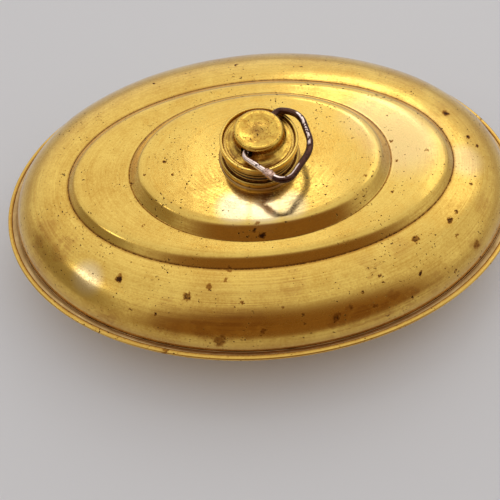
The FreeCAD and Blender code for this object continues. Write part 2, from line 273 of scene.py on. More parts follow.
def rounded_line(
    corners: Array,
    before: Sequence[float],
    after: Sequence[float],
    closed: bool,
    step: float,
    across: slice,
    tight: float = 0.0,
) -> tuple[Array, Array]:
    """Samples a line of straight runs whose corners are rounded.

    Each round starts one setback before its corner and ends one setback after it. A round that starts where
    the last one ended leaves out its first sample.

    Args:
        corners: one row a corner.
        before: setbacks on the leg before each corner, in metres.
        after: setbacks on the leg after each corner.
        closed: True if the last corner joins the first.
        step: spacing of the samples.
        across: columns of a corner that lengths and turns are measured in.
        tight: how much the samples of a straight run crowd at its ends, from 0 to 1.

    Returns:
        The samples, and for each corner the number of the sample at its middle.
    """
    count = len(corners)
    line = corners[:0]
    middles: list[int] = []
    for index, corner in enumerate(corners):
        last, following = corners[index - 1], corners[(index + 1) % count]
        start, arc = corner, corner[None, :]
        if before[index] > 0 and (closed or 0 < index < count - 1):
            start = set_back(corner, last, before[index], across)
            finish = set_back(corner, following, after[index], across)
            weight = bend_weight(last[across], corner[across], following[across])
            length = np.linalg.norm(start - corner) + np.linalg.norm(finish - corner)
            arc = conic_round(start, corner, finish, weight, max(FEWEST_ON_ROUND, math.ceil(length / step)))
        if len(line):
            arc = arc[1:] if np.linalg.norm(start - line[-1]) < SAME_PLACE else arc
            line = np.concatenate([line, straight_run(line[-1], start, step, tight)])
        middles.append(len(line) + len(arc) // 2 if len(arc) else len(line) - 1)
        line = np.concatenate([line, arc])
    if closed:
        line = np.concatenate([line, straight_run(line[-1], line[0], step, tight)])
    return line, np.array(middles)


def placed(name: str, data: bpy.types.ID) -> Thing:
    """Puts a mesh, a camera or a lamp into the scene.

    Args:
        name: the new object's name.
        data: what it shows.

    Returns:
        The object, at the origin.
    """
    thing = bpy.data.objects.new(name, data)
    bpy.context.scene.collection.objects.link(thing)
    return thing


@dataclass
class Skin:
    """A grid of points that is closed round its columns, with the values that its vertices carry.

    Rows run along the section and columns run round it. A row that lies on the axis becomes one pole.
    """

    points: Array
    carried: dict[Carried, Array]
    closed_rows: bool

    def normals(self) -> Array:
        """Works out unit normals: the cross product of the grid's two directions, over its length.

        Returns:
            One normal for each point.
        """
        if self.closed_rows:
            along = np.roll(self.points, -1, axis=0) - np.roll(self.points, 1, axis=0)
        else:
            along = np.gradient(self.points, axis=0)
        around = np.roll(self.points, -1, axis=1) - np.roll(self.points, 1, axis=1)
        normal = np.cross(along, around)
        return normal / np.maximum(np.linalg.norm(normal, axis=-1, keepdims=True), NO_AREA)

    def swell(self, height: Array) -> None:
        """Moves each point along its normal by height."""
        self.points = self.points + self.normals() * height[..., None]

    def faces(self, numbers: Array, poles: Array) -> list[list[int]]:
        """Joins neighbouring rows by quads, or by triangles where one of the two is a pole.

        Args:
            numbers: the vertex number of each grid point.
            poles: True for each row that is a pole.

        Returns:
            The vertex numbers of each face.
        """
        if self.closed_rows:
            numbers = np.concatenate([numbers, numbers[:1]])
            poles = np.concatenate([poles, poles[:1]])
        wrapped = np.concatenate([numbers, numbers[:, :1]], axis=1)
        quads = np.stack([wrapped[:-1, :-1], wrapped[1:, :-1], wrapped[1:, 1:], wrapped[:-1, 1:]], axis=-1)
        plain = ~(poles[:-1] | poles[1:])
        faces = quads[plain].reshape(-1, 4).tolist()
        faces += quads[poles[:-1]][..., [0, 1, 2]].reshape(-1, 3).tolist()
        faces += quads[poles[1:]][..., [0, 1, 3]].reshape(-1, 3).tolist()
        return faces

    def build(self, name: str) -> Thing:
        """Makes the mesh object, with smooth faces that point outwards.

        Args:
            name: name of the object and its mesh.

        Returns:
            The new object, at the origin.
        """
        rows, columns = self.points.shape[:2]
        poles = np.ptp(self.points, axis=1).max(axis=-1) < NO_LENGTH
        kept = np.ones((rows, columns), bool)
        kept[poles, 1:] = False
        numbers = np.cumsum(kept).reshape(rows, columns) - 1
        numbers[poles] = numbers[poles, :1]
        mesh = bpy.data.meshes.new(name)
        mesh.from_pydata(self.points[kept].tolist(), [], self.faces(numbers, poles))
        for kind, values in self.carried.items():
            layout, part = ("FLOAT_VECTOR", "vector") if values.ndim == 3 else ("FLOAT", "value")
            attribute = mesh.attributes.new(kind.value, layout, "POINT")
            attribute.data.foreach_set(part, values[kept].astype(np.float32).ravel())
        mesh.shade_smooth()
        mesh.update()
        return placed(name, mesh)


@dataclass(frozen=True)
class Section:
    """A section that is carried round an oval, listed from the top outwards, so that faces point out."""

    corners: Sequence[Corner]
    closed: bool
    step: float
    columns: int
    grime_and_shade_reach: float = 0.9 * MM
    wear_reach: float = 2.2 * MM
    tight: float = 0.0

    SIDE_VIEW = slice(1, 3)
    SWEEP_RADIUS = 80 * MM
    SWEEP_STRETCH = 40.0

    def carried_round(self) -> Skin:
        """Carries the section round: points are (half length x cosine, half width x sine, height).

        Dirt, wear and age fall off from their corners as bell curves of the distance along the section; dirt
        and age also carry painted shade. The sweep places a point on a cylinder by its turn and that
        distance, for lines that run round.

        Returns:
            The skin.
        """
        places = np.array([[c.half_length, c.half_width, c.height] for c in self.corners])
        before = [c.before for c in self.corners]
        after = [c.after for c in self.corners]
        line, middles = rounded_line(
            places, before, after, self.closed, self.step, self.SIDE_VIEW, self.tight
        )
        turn = np.arange(self.columns) * (FULL_TURN / self.columns)
        circle = np.stack([np.cos(turn), np.sin(turn), np.ones_like(turn)], axis=-1)
        points = line[:, None, :] * circle[None, :, :]
        ones = np.ones(points.shape[:2])
        reached = np.cumsum(np.linalg.norm(np.diff(line, axis=0, prepend=line[:1]), axis=1))
        away = reached[:, None] - reached[middles][None, :]
        across, back = (ones * circle[:, axis] * self.SWEEP_RADIUS for axis in (0, 1))
        carried = {Carried.SWEEP: np.stack([across, back, ones * reached[:, None] * self.SWEEP_STRETCH], -1)}
        for kind, amounts, reach in (
            (Carried.GRIME, [c.grime for c in self.corners], self.grime_and_shade_reach),
            (Carried.WEAR, [c.wear for c in self.corners], self.wear_reach),
            (Carried.AGE, [c.age for c in self.corners], np.array([c.age_and_shade_reach for c in self.corners])),
        ):
            bells = np.array(amounts) * np.exp(-((away / reach) ** 2))
            carried[kind] = ones * np.max(bells, axis=1)[:, None]
        return Skin(points, carried, self.closed)


class Board:
    """Adds nodes to one shader tree and wires them."""

    COLUMN_WIDTH = 180
    MIX_SHARE, MIX_FIRST, MIX_SECOND, MIX_RESULT = 0, 6, 7, 2

    def __init__(self, tree: bpy.types.NodeTree) -> None:
        """Starts on the node tree of a material, a world or a group."""
        self.tree = tree
        self.placed = 0

    def node(self, kind: str, **settings: object) -> bpy.types.Node:
        """Adds a node.

        Args:
            kind: the node's type.
            settings: what to set on it.

        Returns:
            The node.
        """
        node = self.tree.nodes.new(kind)
        node.location = (self.COLUMN_WIDTH * self.placed, 0)
        self.placed += 1
        for key, value in settings.items():
            setattr(node, key, value)
        return node

    def feed(self, socket: Socket, value: object) -> None:
        """Links a socket into the given one, or sets its value.

        Args:
            socket: where it goes.
            value: another socket, or a number, vector or colour.
        """
        if isinstance(value, bpy.types.NodeSocket):
            self.tree.links.new(value, socket)
        else:
            socket.default_value = value

    def feed_all(self, node: bpy.types.Node, **values: object) -> Socket:
        """Feeds a node's named inputs.

        Args:
            node: the node.
            values: what goes into each input.

        Returns:
            The node's first result.
        """
        for label, value in values.items():
            self.feed(node.inputs[label], value)
        return node.outputs[0]

    def math(self, operation: str, *operands: object, clamp: bool = False) -> Socket:
        """Adds a Math node.

        Args:
            operation: what it works out.
            operands: its sockets or numbers.
            clamp: True to hold the result between 0 and 1.

        Returns:
            Its result.
        """
        node = self.node("ShaderNodeMath", operation=operation, use_clamp=clamp)
        for socket, value in zip(node.inputs, operands):
            self.feed(socket, value)
        return node.outputs[0]

    def held(self, value: object) -> Socket:
        """A value held between 0 and 1."""
        return self.math("ADD", value, 0.0, clamp=True)

    def swayed(self, base: object, noise: Socket, share: object) -> Socket:
        """A base that a noise sways either way: the noise less its middle, times share, plus the base."""
        return self.math("MULTIPLY_ADD", self.math("SUBTRACT", noise, NOISE_MIDDLE), share, base)

    def vectors(self, operation: str, first: object, second: object) -> bpy.types.Node:
        """Adds a Vector Math node.

        Args:
            operation: what it works out.
            first: a vector.
            second: another, or a value that goes to all three of its parts.

        Returns:
            The node, whose result is a Vector or a Value.
        """
        node = self.node("ShaderNodeVectorMath", operation=operation)
        self.feed(node.inputs[0], first)
        self.feed(node.inputs[1], second)
        return node

    def warped(self, place: Socket, noise: Socket, reach: float) -> Socket:
        """Coordinates that a noise pushes about, so that spots have ragged outlines."""
        return self.vectors("ADD", place, self.swayed(0.0, noise, reach)).outputs["Vector"]

    def mix(self, share: object, first: object, second: object) -> Socket:
        """Adds a Mix node for colours.

        Args:
            share: how much of the second shows.
            first: a colour.
            second: another colour.

        Returns:
            The colour between them.
        """
        node = self.node("ShaderNodeMix", data_type="RGBA")
        self.feed(node.inputs[self.MIX_SHARE], share)
        self.feed(node.inputs[self.MIX_FIRST], opaque(first))
        self.feed(node.inputs[self.MIX_SECOND], opaque(second))
        return node.outputs[self.MIX_RESULT]

    def noise(self, vector: Socket, scale: object, kind: Noise) -> Socket:
        """A noise on the given coordinates: its value, between 0 and 1."""
        richness = dict(zip(("Detail", "Roughness"), kind.value))
        return self.feed_all(self.node("ShaderNodeTexNoise"), Vector=vector, Scale=scale, **richness)

    def between(
        self, value: object, low: object, high: object, first: object = 0.0, last: object = 1.0
    ) -> Socket:
        """Maps a value smoothly from one range to another.

        Args:
            value: what is mapped.
            low: the value that becomes first.
            high: the value that becomes last.
            first: start of the new range.
            last: end of the new range.

        Returns:
            The mapped value.
        """
        node = self.node("ShaderNodeMapRange", interpolation_type="SMOOTHSTEP")
        for socket, number in zip(node.inputs, (value, low, high, first, last)):
            self.feed(socket, number)
        return node.outputs[0]

    def place(self) -> Socket:
        """The Object coordinates."""
        return self.node("ShaderNodeTexCoord").outputs["Object"]

    def carried(self, kind: Carried, output: str = "Fac") -> Socket:
        """A value that the mesh carries."""
        return self.node("ShaderNodeAttribute", attribute_name=kind.value).outputs[output]

    def bump(self, height: Socket, strength: float, distance: float) -> Socket:
        """The normal that a relief of the given strength and depth bends."""
        return self.feed_all(self.node("ShaderNodeBump"), Strength=strength, Distance=distance, Height=height)


def opaque(value: object) -> object:
    """A colour with full alpha; anything else as it is."""
    return (*value, 1.0) if isinstance(value, tuple) and len(value) == 3 else value


@dataclass(frozen=True)
class PixelSpot:
    """A spot, smudge, painted shadow or painted highlight where the photograph shows one: its pixel, its size
    and how strong it is.
    """

    pixel: tuple[float, float]
    across: float
    strength: float


LaidSpots = Sequence[tuple[Vector, PixelSpot]]


class Effects:
    """Shader node groups that several finishes share, each built once."""

    FINER_PATCHES = 5.3
    BROAD_SHARE = 0.65
    FINE_SHARE = 0.35
    PATCH_OFFSET = (0.31, 0.17, 0.53)
    SPECK_LIMIT = 0.86
    SPECK_EDGE = 0.05
    CLUSTER_SCALE = 0.09
    CLUSTER_OFFSET = (0.77, 0.29, 0.41)
    SPOT_EDGE = 1.25
    SPOT_CORE = 0.45

    @staticmethod
    def _begin(
        name: str, vectors: Sequence[str], numbers: Sequence[str], output: str
    ) -> tuple[Board, bpy.types.Node, bpy.types.Node]:
        """Starts a group with its sockets.

        Args:
            name: the group's name.
            vectors: names of the vectors that go in.
            numbers: names of the numbers that go in.
            output: name of the one value that comes out.

        Returns:
            The group's board, and its input and output nodes.
        """
        tree = bpy.data.node_groups.new(name, "ShaderNodeTree")
        for labels, kind in ((vectors, "NodeSocketVector"), (numbers, "NodeSocketFloat")):
            for label in labels:
                tree.interface.new_socket(name=label, in_out="INPUT", socket_type=kind)
        tree.interface.new_socket(name=output, in_out="OUTPUT", socket_type="NodeSocketFloat")
        board = Board(tree)
        return board, board.node("NodeGroupInput"), board.node("NodeGroupOutput")

    @staticmethod
    def put(board: Board, tree: bpy.types.NodeTree, **values: object) -> Socket:
        """Puts a group into a material with its own values, and gives what comes out."""
        return board.feed_all(board.node("ShaderNodeGroup", node_tree=tree), **values)

    @cached_property
    def mottle(self) -> bpy.types.NodeTree:
        """Cloudy patches: two noises of different scale, added and drawn apart by contrast.

        Returns:
            The group.
        """
        board, source, sink = self._begin("Patina mottle", ("Vector",), ("Scale", "Contrast"), "Patches")
        vector, scale, contrast = (source.outputs[label] for label in ("Vector", "Scale", "Contrast"))
        broad = board.noise(vector, scale, Noise.RICH)
        moved = board.vectors("ADD", vector, self.PATCH_OFFSET).outputs["Vector"]
        fine = board.noise(moved, board.math("MULTIPLY", scale, self.FINER_PATCHES), Noise.CLOUDY)
        weighted = board.math("MULTIPLY", broad, self.BROAD_SHARE)
        both = board.math("MULTIPLY_ADD", fine, self.FINE_SHARE, weighted)
        board.feed(sink.inputs[0], board.held(board.swayed(NOISE_MIDDLE, both, contrast)))
        return board.tree

    @cached_property
    def specks(self) -> bpy.types.NodeTree:
        """Small dark pits: the peaks of a fine noise, let through only where a broad noise is high.

        Returns:
            The group.
        """
        board, source, sink = self._begin("Tarnish specks", ("Vector",), ("Scale", "Amount"), "Specks")
        vector, scale, amount = (source.outputs[label] for label in ("Vector", "Scale", "Amount"))
        fine = board.noise(vector, scale, Noise.SOFT)
        moved = board.vectors("ADD", vector, self.CLUSTER_OFFSET).outputs["Vector"]
        broad = board.noise(moved, board.math("MULTIPLY", scale, self.CLUSTER_SCALE), Noise.SOFT)
        limit = board.math("SUBTRACT", self.SPECK_LIMIT, board.math("MULTIPLY", broad, amount))
        board.feed(sink.inputs[0], board.between(board.math("SUBTRACT", fine, limit), 0.0, self.SPECK_EDGE))
        return board.tree

    @cached_property
    def brushing(self) -> bpy.types.NodeTree:
        """Fine polishing lines: a noise on the sweep, which is drawn out along the oval.

        Returns:
            The group.
        """
        board, source, sink = self._begin("Polishing lines", ("Sweep",), ("Scale",), "Lines")
        lines = board.noise(source.outputs["Sweep"], source.outputs["Scale"], Noise.STREAKED)
        board.feed(sink.inputs[0], lines)
        return board.tree

    @cached_property
    def spot(self) -> bpy.types.NodeTree:
        """One spot of tarnish, painted shadow or painted highlight: a soft disc about its centre, kept where
        it is stronger than what was there.

        Returns:
            The group.
        """
        numbers = ("Radius", "Strength", "Before")
        board, source, sink = self._begin("Tarnish and painted light spot", ("Vector", "Centre"), numbers, "Spots")
        radius, strength, before = (source.outputs[label] for label in numbers)
        away = board.vectors("DISTANCE", source.outputs["Vector"], source.outputs["Centre"]).outputs["Value"]
        share = board.math("DIVIDE", away, radius)
        disc = board.math("MULTIPLY", board.between(share, self.SPOT_EDGE, self.SPOT_CORE), strength)
        board.feed(sink.inputs[0], board.math("MAXIMUM", disc, before))
        return board.tree

    def spotted(self, board: Board, place: Socket, spots: LaidSpots, before: object) -> object:
        """Lays spots over what was there before.

        Args:
            board: the material's board.
            place: the coordinates that they lie on.
            spots: the spots with their places.
            before: the value to start with.

        Returns:
            The value after the last spot.
        """
        for centre, spot in spots:
            laid = {"Centre": tuple(centre), "Radius": spot.across / 2, "Strength": spot.strength}
            before = self.put(board, self.spot, Vector=place, Before=before, **laid)
        return before


def new_material(name: str) -> tuple[bpy.types.Material, Board, bpy.types.Node]:
    """Starts a material with its Principled shader.

    Args:
        name: the material's name.

    Returns:
        The material, its board and its shader node.
    """
    material = bpy.data.materials.new(name)
    material.use_nodes = True
    material.node_tree.nodes.clear()
    board = Board(material.node_tree)
    sink = board.node("ShaderNodeOutputMaterial")
    shader = board.node("ShaderNodeBsdfPrincipled")
    board.feed(sink.inputs["Surface"], shader.outputs[0])
    return material, board, shader


@dataclass(frozen=True)
class Layers:
    """What a brass finish reads at each place of a piece: coordinates, carried values and noises."""

    place: Socket
    grime: Socket
    wear: Socket
    # Corner age, which at some corners is painted shade.
    age: Socket
    patches: Socket
    smears: Socket
    lines: Socket
    grain: Socket


@dataclass(frozen=True)
class BrassFinish:
    """Old lacquered brass: bright metal, cloudy patina, specks, dirt in its creases, bright worn edges,
    painted shade on dark corners and walls, and painted highlights.
    """

    name: str
    bright: Colour = (0.90, 0.60, 0.115)
    warm: Colour = (0.66, 0.37, 0.045)
    # Brown of age and stains; on corners that carry age it paints shade.
    aged_and_shaded: Colour = (0.44, 0.18, 0.014)
    rust: Colour = (0.30, 0.105, 0.012)
    tarnish: Colour = (0.045, 0.014, 0.004)
    # Colour of the painted highlights.
    pale: Colour = (0.88, 0.70, 0.40)
    age_and_shade_share: float = 0.8
    age_and_shade_least: float = 0.7
    age_and_shade_patches: Span = (0.1, 0.9)
    grime_and_shade_share: float = 0.8
    wear_share: float = 0.55
    wear_gloss: float = 0.06
    smooth: float = 0.14
    dull: float = 0.28
    smoothest: float = 0.08
    lacquer: float = 0.6
    lacquer_roughness: float = 0.22
    lacquer_marks: Span = (0.0, 0.5)
    dirt_shine: float = 0.2
    dirt_and_shade_breaks: Ramp = (0.2, 0.5, 0.6, 1.0)
    film_level: float = 0.45
    patch_scale: float = 38.0
    patch_contrast: float = 2.6
    patch_share: float = 1.0
    smear_scale: float = 20.0
    smear_share: float = 1.4
    line_scale: float = 70.0
    line_share: float = 1.1
    line_depth: float = 0.08
    grain_scale: float = 900.0
    grain_share: float = 1.2
    speck_scale: float = 800.0
    speck_amount: float = 0.345
    ragged_scale: float = 400.0
    spot_ragged: float = 4.5 * MM
    drift_finer: float = 4.0
    smudge_ragged: float = 24.0 * MM
    stain_breaks: Ramp = (0.35, 0.62, 0.4, 1.0)
    mark_grain: float = 1.3
    mark_dull: float = 0.28
    mark_rust: Ramp = (0.0, 0.45, 0.0, 0.85)
    mark_tarnish: Span = (0.4, 0.95)
    mark_metal: Ramp = (0.2, 1.0, 1.0, 0.8)
    relief_strength: float = 0.5
    relief_depth: float = 0.08 * MM

    def layers(self, board: Board, effects: Effects) -> Layers:
        """Reads the mesh and lays the noises.

        Args:
            board: the material's board.
            effects: the shared node groups.

        Returns:
            The layers.
        """
        place = board.place()
        sweep = board.carried(Carried.SWEEP, "Vector")
        patches = effects.put(
            board, effects.mottle, Vector=place, Scale=self.patch_scale, Contrast=self.patch_contrast
        )
        return Layers(
            place=place,
            grime=board.carried(Carried.GRIME),
            wear=board.carried(Carried.WEAR),
            age=board.carried(Carried.AGE),
            patches=patches,
            smears=effects.put(board, effects.brushing, Sweep=sweep, Scale=self.smear_scale),
            lines=effects.put(board, effects.brushing, Sweep=sweep, Scale=self.line_scale),
            grain=board.noise(place, self.grain_scale, Noise.SOFT),
        )

    def marks(self, board: Board, effects: Effects, layers: Layers, spots: LaidSpots) -> Socket:
        """Lays the dark marks: the strongest of specks, broken dirt with painted shade, and ragged spots.

        Args:
            board: the material's board.
            effects: the shared node groups.
            layers: what the finish reads.
            spots: tarnish spots with their places.

        Returns:
            How strong the marks are.
        """
        specks = effects.put(
            board, effects.specks, Vector=layers.place, Scale=self.speck_scale, Amount=self.speck_amount
        )
        ragged = board.noise(layers.place, self.ragged_scale, Noise.CLOUDY)
        # Dirt in creases and seams; in the knob's cross hole, the stopper's groove, the neck's collar and
        # under the knob's cap the same grime is painted shade.
        dirt = board.math("MULTIPLY", layers.grime, board.between(ragged, *self.dirt_and_shade_breaks))
        marks = board.math("MAXIMUM", specks, board.math("MULTIPLY", dirt, self.grime_and_shade_share))
        return effects.spotted(board, board.warped(layers.place, ragged, self.spot_ragged), spots, marks)

    def film(self, board: Board, layers: Layers) -> Socket:
        """Lays the thin film of age: a level that patches, smears, lines and grain sway.

        Args:
            board: the material's board.
            layers: what the finish reads.

        Returns:
            How thick the film is.
        """
        film = board.swayed(self.film_level, layers.patches, self.patch_share)
        film = board.swayed(film, layers.smears, self.smear_share)
        film = board.swayed(film, layers.lines, self.line_share)
        return board.swayed(film, layers.grain, self.grain_share)

    def stain_and_shade(self, board: Board, effects: Effects, layers: Layers, smudges_and_shade: LaidSpots) -> Socket:
        """Lays the brown stains and painted shade: smudges with drifting outlines, broken by smears, and the
        corners' age, which at some corners is painted shade.

        Args:
            board: the material's board.
            effects: the shared node groups.
            layers: what the finish reads.
            smudges_and_shade: broad brown stains, and painted shadow on the knob, with their places.

        Returns:
            How brown it is.
        """
        drift = board.noise(layers.place, self.patch_scale * self.drift_finer, Noise.CLOUDY)
        drifting = board.warped(layers.place, drift, self.smudge_ragged)
        stain_and_shade = effects.spotted(board, drifting, smudges_and_shade, 0.0)
        broken = board.math("MULTIPLY", stain_and_shade, board.between(layers.smears, *self.stain_breaks))
        least = self.age_and_shade_least * self.age_and_shade_share
        patchy = board.between(layers.patches, *self.age_and_shade_patches, least, self.age_and_shade_share)
        return board.math("MAXIMUM", board.math("MULTIPLY", layers.age, patchy), broken)

    def make(
        self, effects: Effects, spots: LaidSpots = (), smudges_and_shade: LaidSpots = (), painted_highlights: LaidSpots = ()
    ) -> bpy.types.Material:
        """Builds the material.

        Args:
            effects: the shared node groups.
            spots: dark tarnish spots with their places on the surface.
            smudges_and_shade: broad brown stains, and painted shadow on the knob, with their places.
            painted_highlights: broad pale discs of painted highlight with their places.

        Returns:
            The material.
        """
        material, board, shader = new_material(self.name)
        layers = self.layers(board, effects)
        marks = self.marks(board, effects, layers, spots)
        film = self.film(board, layers)
        metal = board.mix(board.held(film), self.bright, self.warm)
        # Painted highlights: pale discs laid over the metal where lamps shine off it.
        metal = board.mix(effects.spotted(board, layers.place, painted_highlights, 0.0), metal, self.pale)
        # Brown stains and age, with painted shade from the corners that carry it.
        browned_and_shaded = board.mix(self.stain_and_shade(board, effects, layers, smudges_and_shade), metal, self.aged_and_shaded)
        polished = board.mix(board.math("MULTIPLY", layers.wear, self.wear_share), browned_and_shaded, self.bright)
        rusty = board.mix(board.between(marks, *self.mark_rust), polished, self.rust)
        speckled = board.between(board.swayed(marks, layers.grain, self.mark_grain), *self.mark_tarnish)
        board.feed(shader.inputs["Base Color"], board.mix(speckled, rusty, self.tarnish))
        gloss = board.between(film, 0.0, 1.0, self.smooth, self.dull)
        gloss = board.math("SUBTRACT", gloss, board.math("MULTIPLY", layers.wear, self.wear_gloss))
        gloss = board.math("MULTIPLY_ADD", marks, self.mark_dull, gloss)
        board.feed(shader.inputs["Roughness"], board.math("MAXIMUM", gloss, self.smoothest))
        board.feed(shader.inputs["Metallic"], board.between(marks, *self.mark_metal))
        shader.inputs["Specular IOR Level"].default_value = self.dirt_shine
        board.feed(shader.inputs["Coat Weight"], board.between(marks, *self.lacquer_marks, self.lacquer, 0.0))
        shader.inputs["Coat Roughness"].default_value = self.lacquer_roughness
        relief = board.math("SUBTRACT", board.math("MULTIPLY", layers.lines, self.line_depth), marks)
        board.feed(shader.inputs["Normal"], board.bump(relief, self.relief_strength, self.relief_depth))
        return material


@dataclass(frozen=True)
class PlainFinish:
    """A finish of two colours that a cloudy noise mixes, with a rough relief: solder, leather or braze."""

    name: str
    first: Colour
    second: Colour
    metallic: float
    roughness: Span
    patch_scale: float
    relief_scale: float
    relief_depth: float
    patch_contrast: float = 2.6
    relief_strength: float = 0.6

    def make(self, effects: Effects) -> bpy.types.Material:
        """Builds the material.

        Args:
            effects: the shared node groups.

        Returns:
            The material.
        """
        material, board, shader = new_material(self.name)
        place = board.place()
        patches = effects.put(
            board, effects.mottle, Vector=place, Scale=self.patch_scale, Contrast=self.patch_contrast
        )
        board.feed(shader.inputs["Base Color"], board.mix(patches, self.first, self.second))
        board.feed(shader.inputs["Roughness"], board.between(patches, 0.0, 1.0, *self.roughness))
        shader.inputs["Metallic"].default_value = self.metallic
        relief = board.noise(place, self.relief_scale, Noise.RICH)
        board.feed(shader.inputs["Normal"], board.bump(relief, self.relief_strength, self.relief_depth))
        return material


@dataclass(frozen=True)
class WireFinish:
    """Drawn wire: dark glossy patina, rubbed to a pale metal where the mesh says that it is worn, and a
    painted highlight of the same pale metal.
    """

    name: str
    patina: Colour = (0.036, 0.012, 0.007)
    rubbed: Colour = (0.12, 0.050, 0.029)
    # Also the colour of the painted highlight streak.
    bare: Colour = (0.76, 0.60, 0.52)
    bare_wear: Span = (0.35, 0.7)
    bare_ragged: float = 0.25
    metallic: Span = (0.92, 1.0)
    gloss: Span = (0.12, 0.24)
    varnish: float = 0.12
    varnish_roughness: float = 0.05
    patch_scale: float = 120.0
    patch_contrast: float = 3.0
    speck_scale: float = 900.0
    speck_amount: float = 0.5
    relief_scale: float = 500.0
    relief_strength: float = 0.15
    relief_depth: float = 0.08 * MM

    def make(self, effects: Effects) -> bpy.types.Material:
        """Builds the material.

        Args:
            effects: the shared node groups.

        Returns:
            The material.
        """
        material, board, shader = new_material(self.name)
        place = board.place()
        wear = board.carried(Carried.WEAR)
        patches = effects.put(
            board, effects.mottle, Vector=place, Scale=self.patch_scale, Contrast=self.patch_contrast
        )
        specks = effects.put(
            board, effects.specks, Vector=place, Scale=self.speck_scale, Amount=self.speck_amount
        )
        dark = board.mix(patches, self.patina, self.rubbed)
        # The wear values also carry the painted highlight streak, which shows the bare colour.
        shown = board.between(board.swayed(wear, patches, self.bare_ragged), *self.bare_wear)
        worn = board.mix(shown, dark, self.bare)
        board.feed(shader.inputs["Base Color"], board.mix(specks, worn, self.patina))
        board.feed(shader.inputs["Roughness"], board.between(patches, 0.0, 1.0, *self.gloss))
        board.feed(shader.inputs["Metallic"], board.between(shown, 0.0, 1.0, *self.metallic))
        shader.inputs["Coat Weight"].default_value = self.varnish
        shader.inputs["Coat Roughness"].default_value = self.varnish_roughness
        relief = board.noise(place, self.relief_scale, Noise.SOFT)
        board.feed(shader.inputs["Normal"], board.bump(relief, self.relief_strength, self.relief_depth))
        return material


def settle(piece: Thing, material: bpy.types.Material, body: Body, node: str) -> None:
    """Dresses a piece, lets it ride on a body and stand for a CAD node.

    Args:
        piece: the finished object.
        material: its material.
        body: the body that it rides on.
        node: the CAD node that it stands for.
    """
    piece.data.materials.clear()
    piece.data.materials.append(material)
    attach(piece, body.value)
    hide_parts(node)
    LOG.info("%s: %d faces on %s", piece.name, len(piece.data.polygons), body.value)


@dataclass(frozen=True)
class Camera:
    """The camera of the photograph, fitted to the bottle's ovals."""

    focal_pixels: float = 594.6
    elevation: float = math.radians(64.58)
    swing: float = math.radians(0.10)
    roll: float = math.radians(-5.29)
    distance: float = 362.7 * MM
    aim: tuple[float, float, float] = (-9.4 * MM, -20.9 * MM, 0.0)
    sensor: float = 36.0
    nearest: float = 5 * MM

    @property
    def axes(self) -> tuple[Vector, Vector, Vector]:
        """Works out how the camera is turned, from its elevation, swing and roll.

        Returns:
            Its right, up and back directions.
        """
        level = math.cos(self.elevation)
        back = Vector((math.sin(self.swing) * level, -math.cos(self.swing) * level, math.sin(self.elevation)))
        flat = (-back).cross(Vector(UP)).normalized()
        steep = flat.cross(-back)
        right = flat * math.cos(self.roll) + steep * math.sin(self.roll)
        up = steep * math.cos(self.roll) - flat * math.sin(self.roll)
        return right, up, back

    @property
    def place(self) -> Vector:
        """Where the camera stands."""
        return Vector(self.aim) + self.axes[2] * self.distance

    def through(self, pixel: tuple[float, float]) -> Vector:
        """Looks through a pixel of the photograph.

        Args:
            pixel: its place across and down.

        Returns:
            The direction of sight.
        """
        right, up, back = self.axes
        half = PHOTO_SIZE / 2
        across, down = ((place - half) / self.focal_pixels for place in pixel)
        return (right * across - up * down - back).normalized()

    def build(self) -> None:
        """Makes the camera object and sets it as the scene's."""
        data = bpy.data.cameras.new("photo_camera")
        data.sensor_width = self.sensor
        data.lens = self.focal_pixels / PHOTO_SIZE * self.sensor
        data.clip_start = self.nearest
        camera = placed("photo_camera", data)
        turn = Matrix(self.axes).transposed().to_4x4()
        camera.matrix_world = Matrix.Translation(self.place) @ turn
        bpy.context.scene.camera = camera


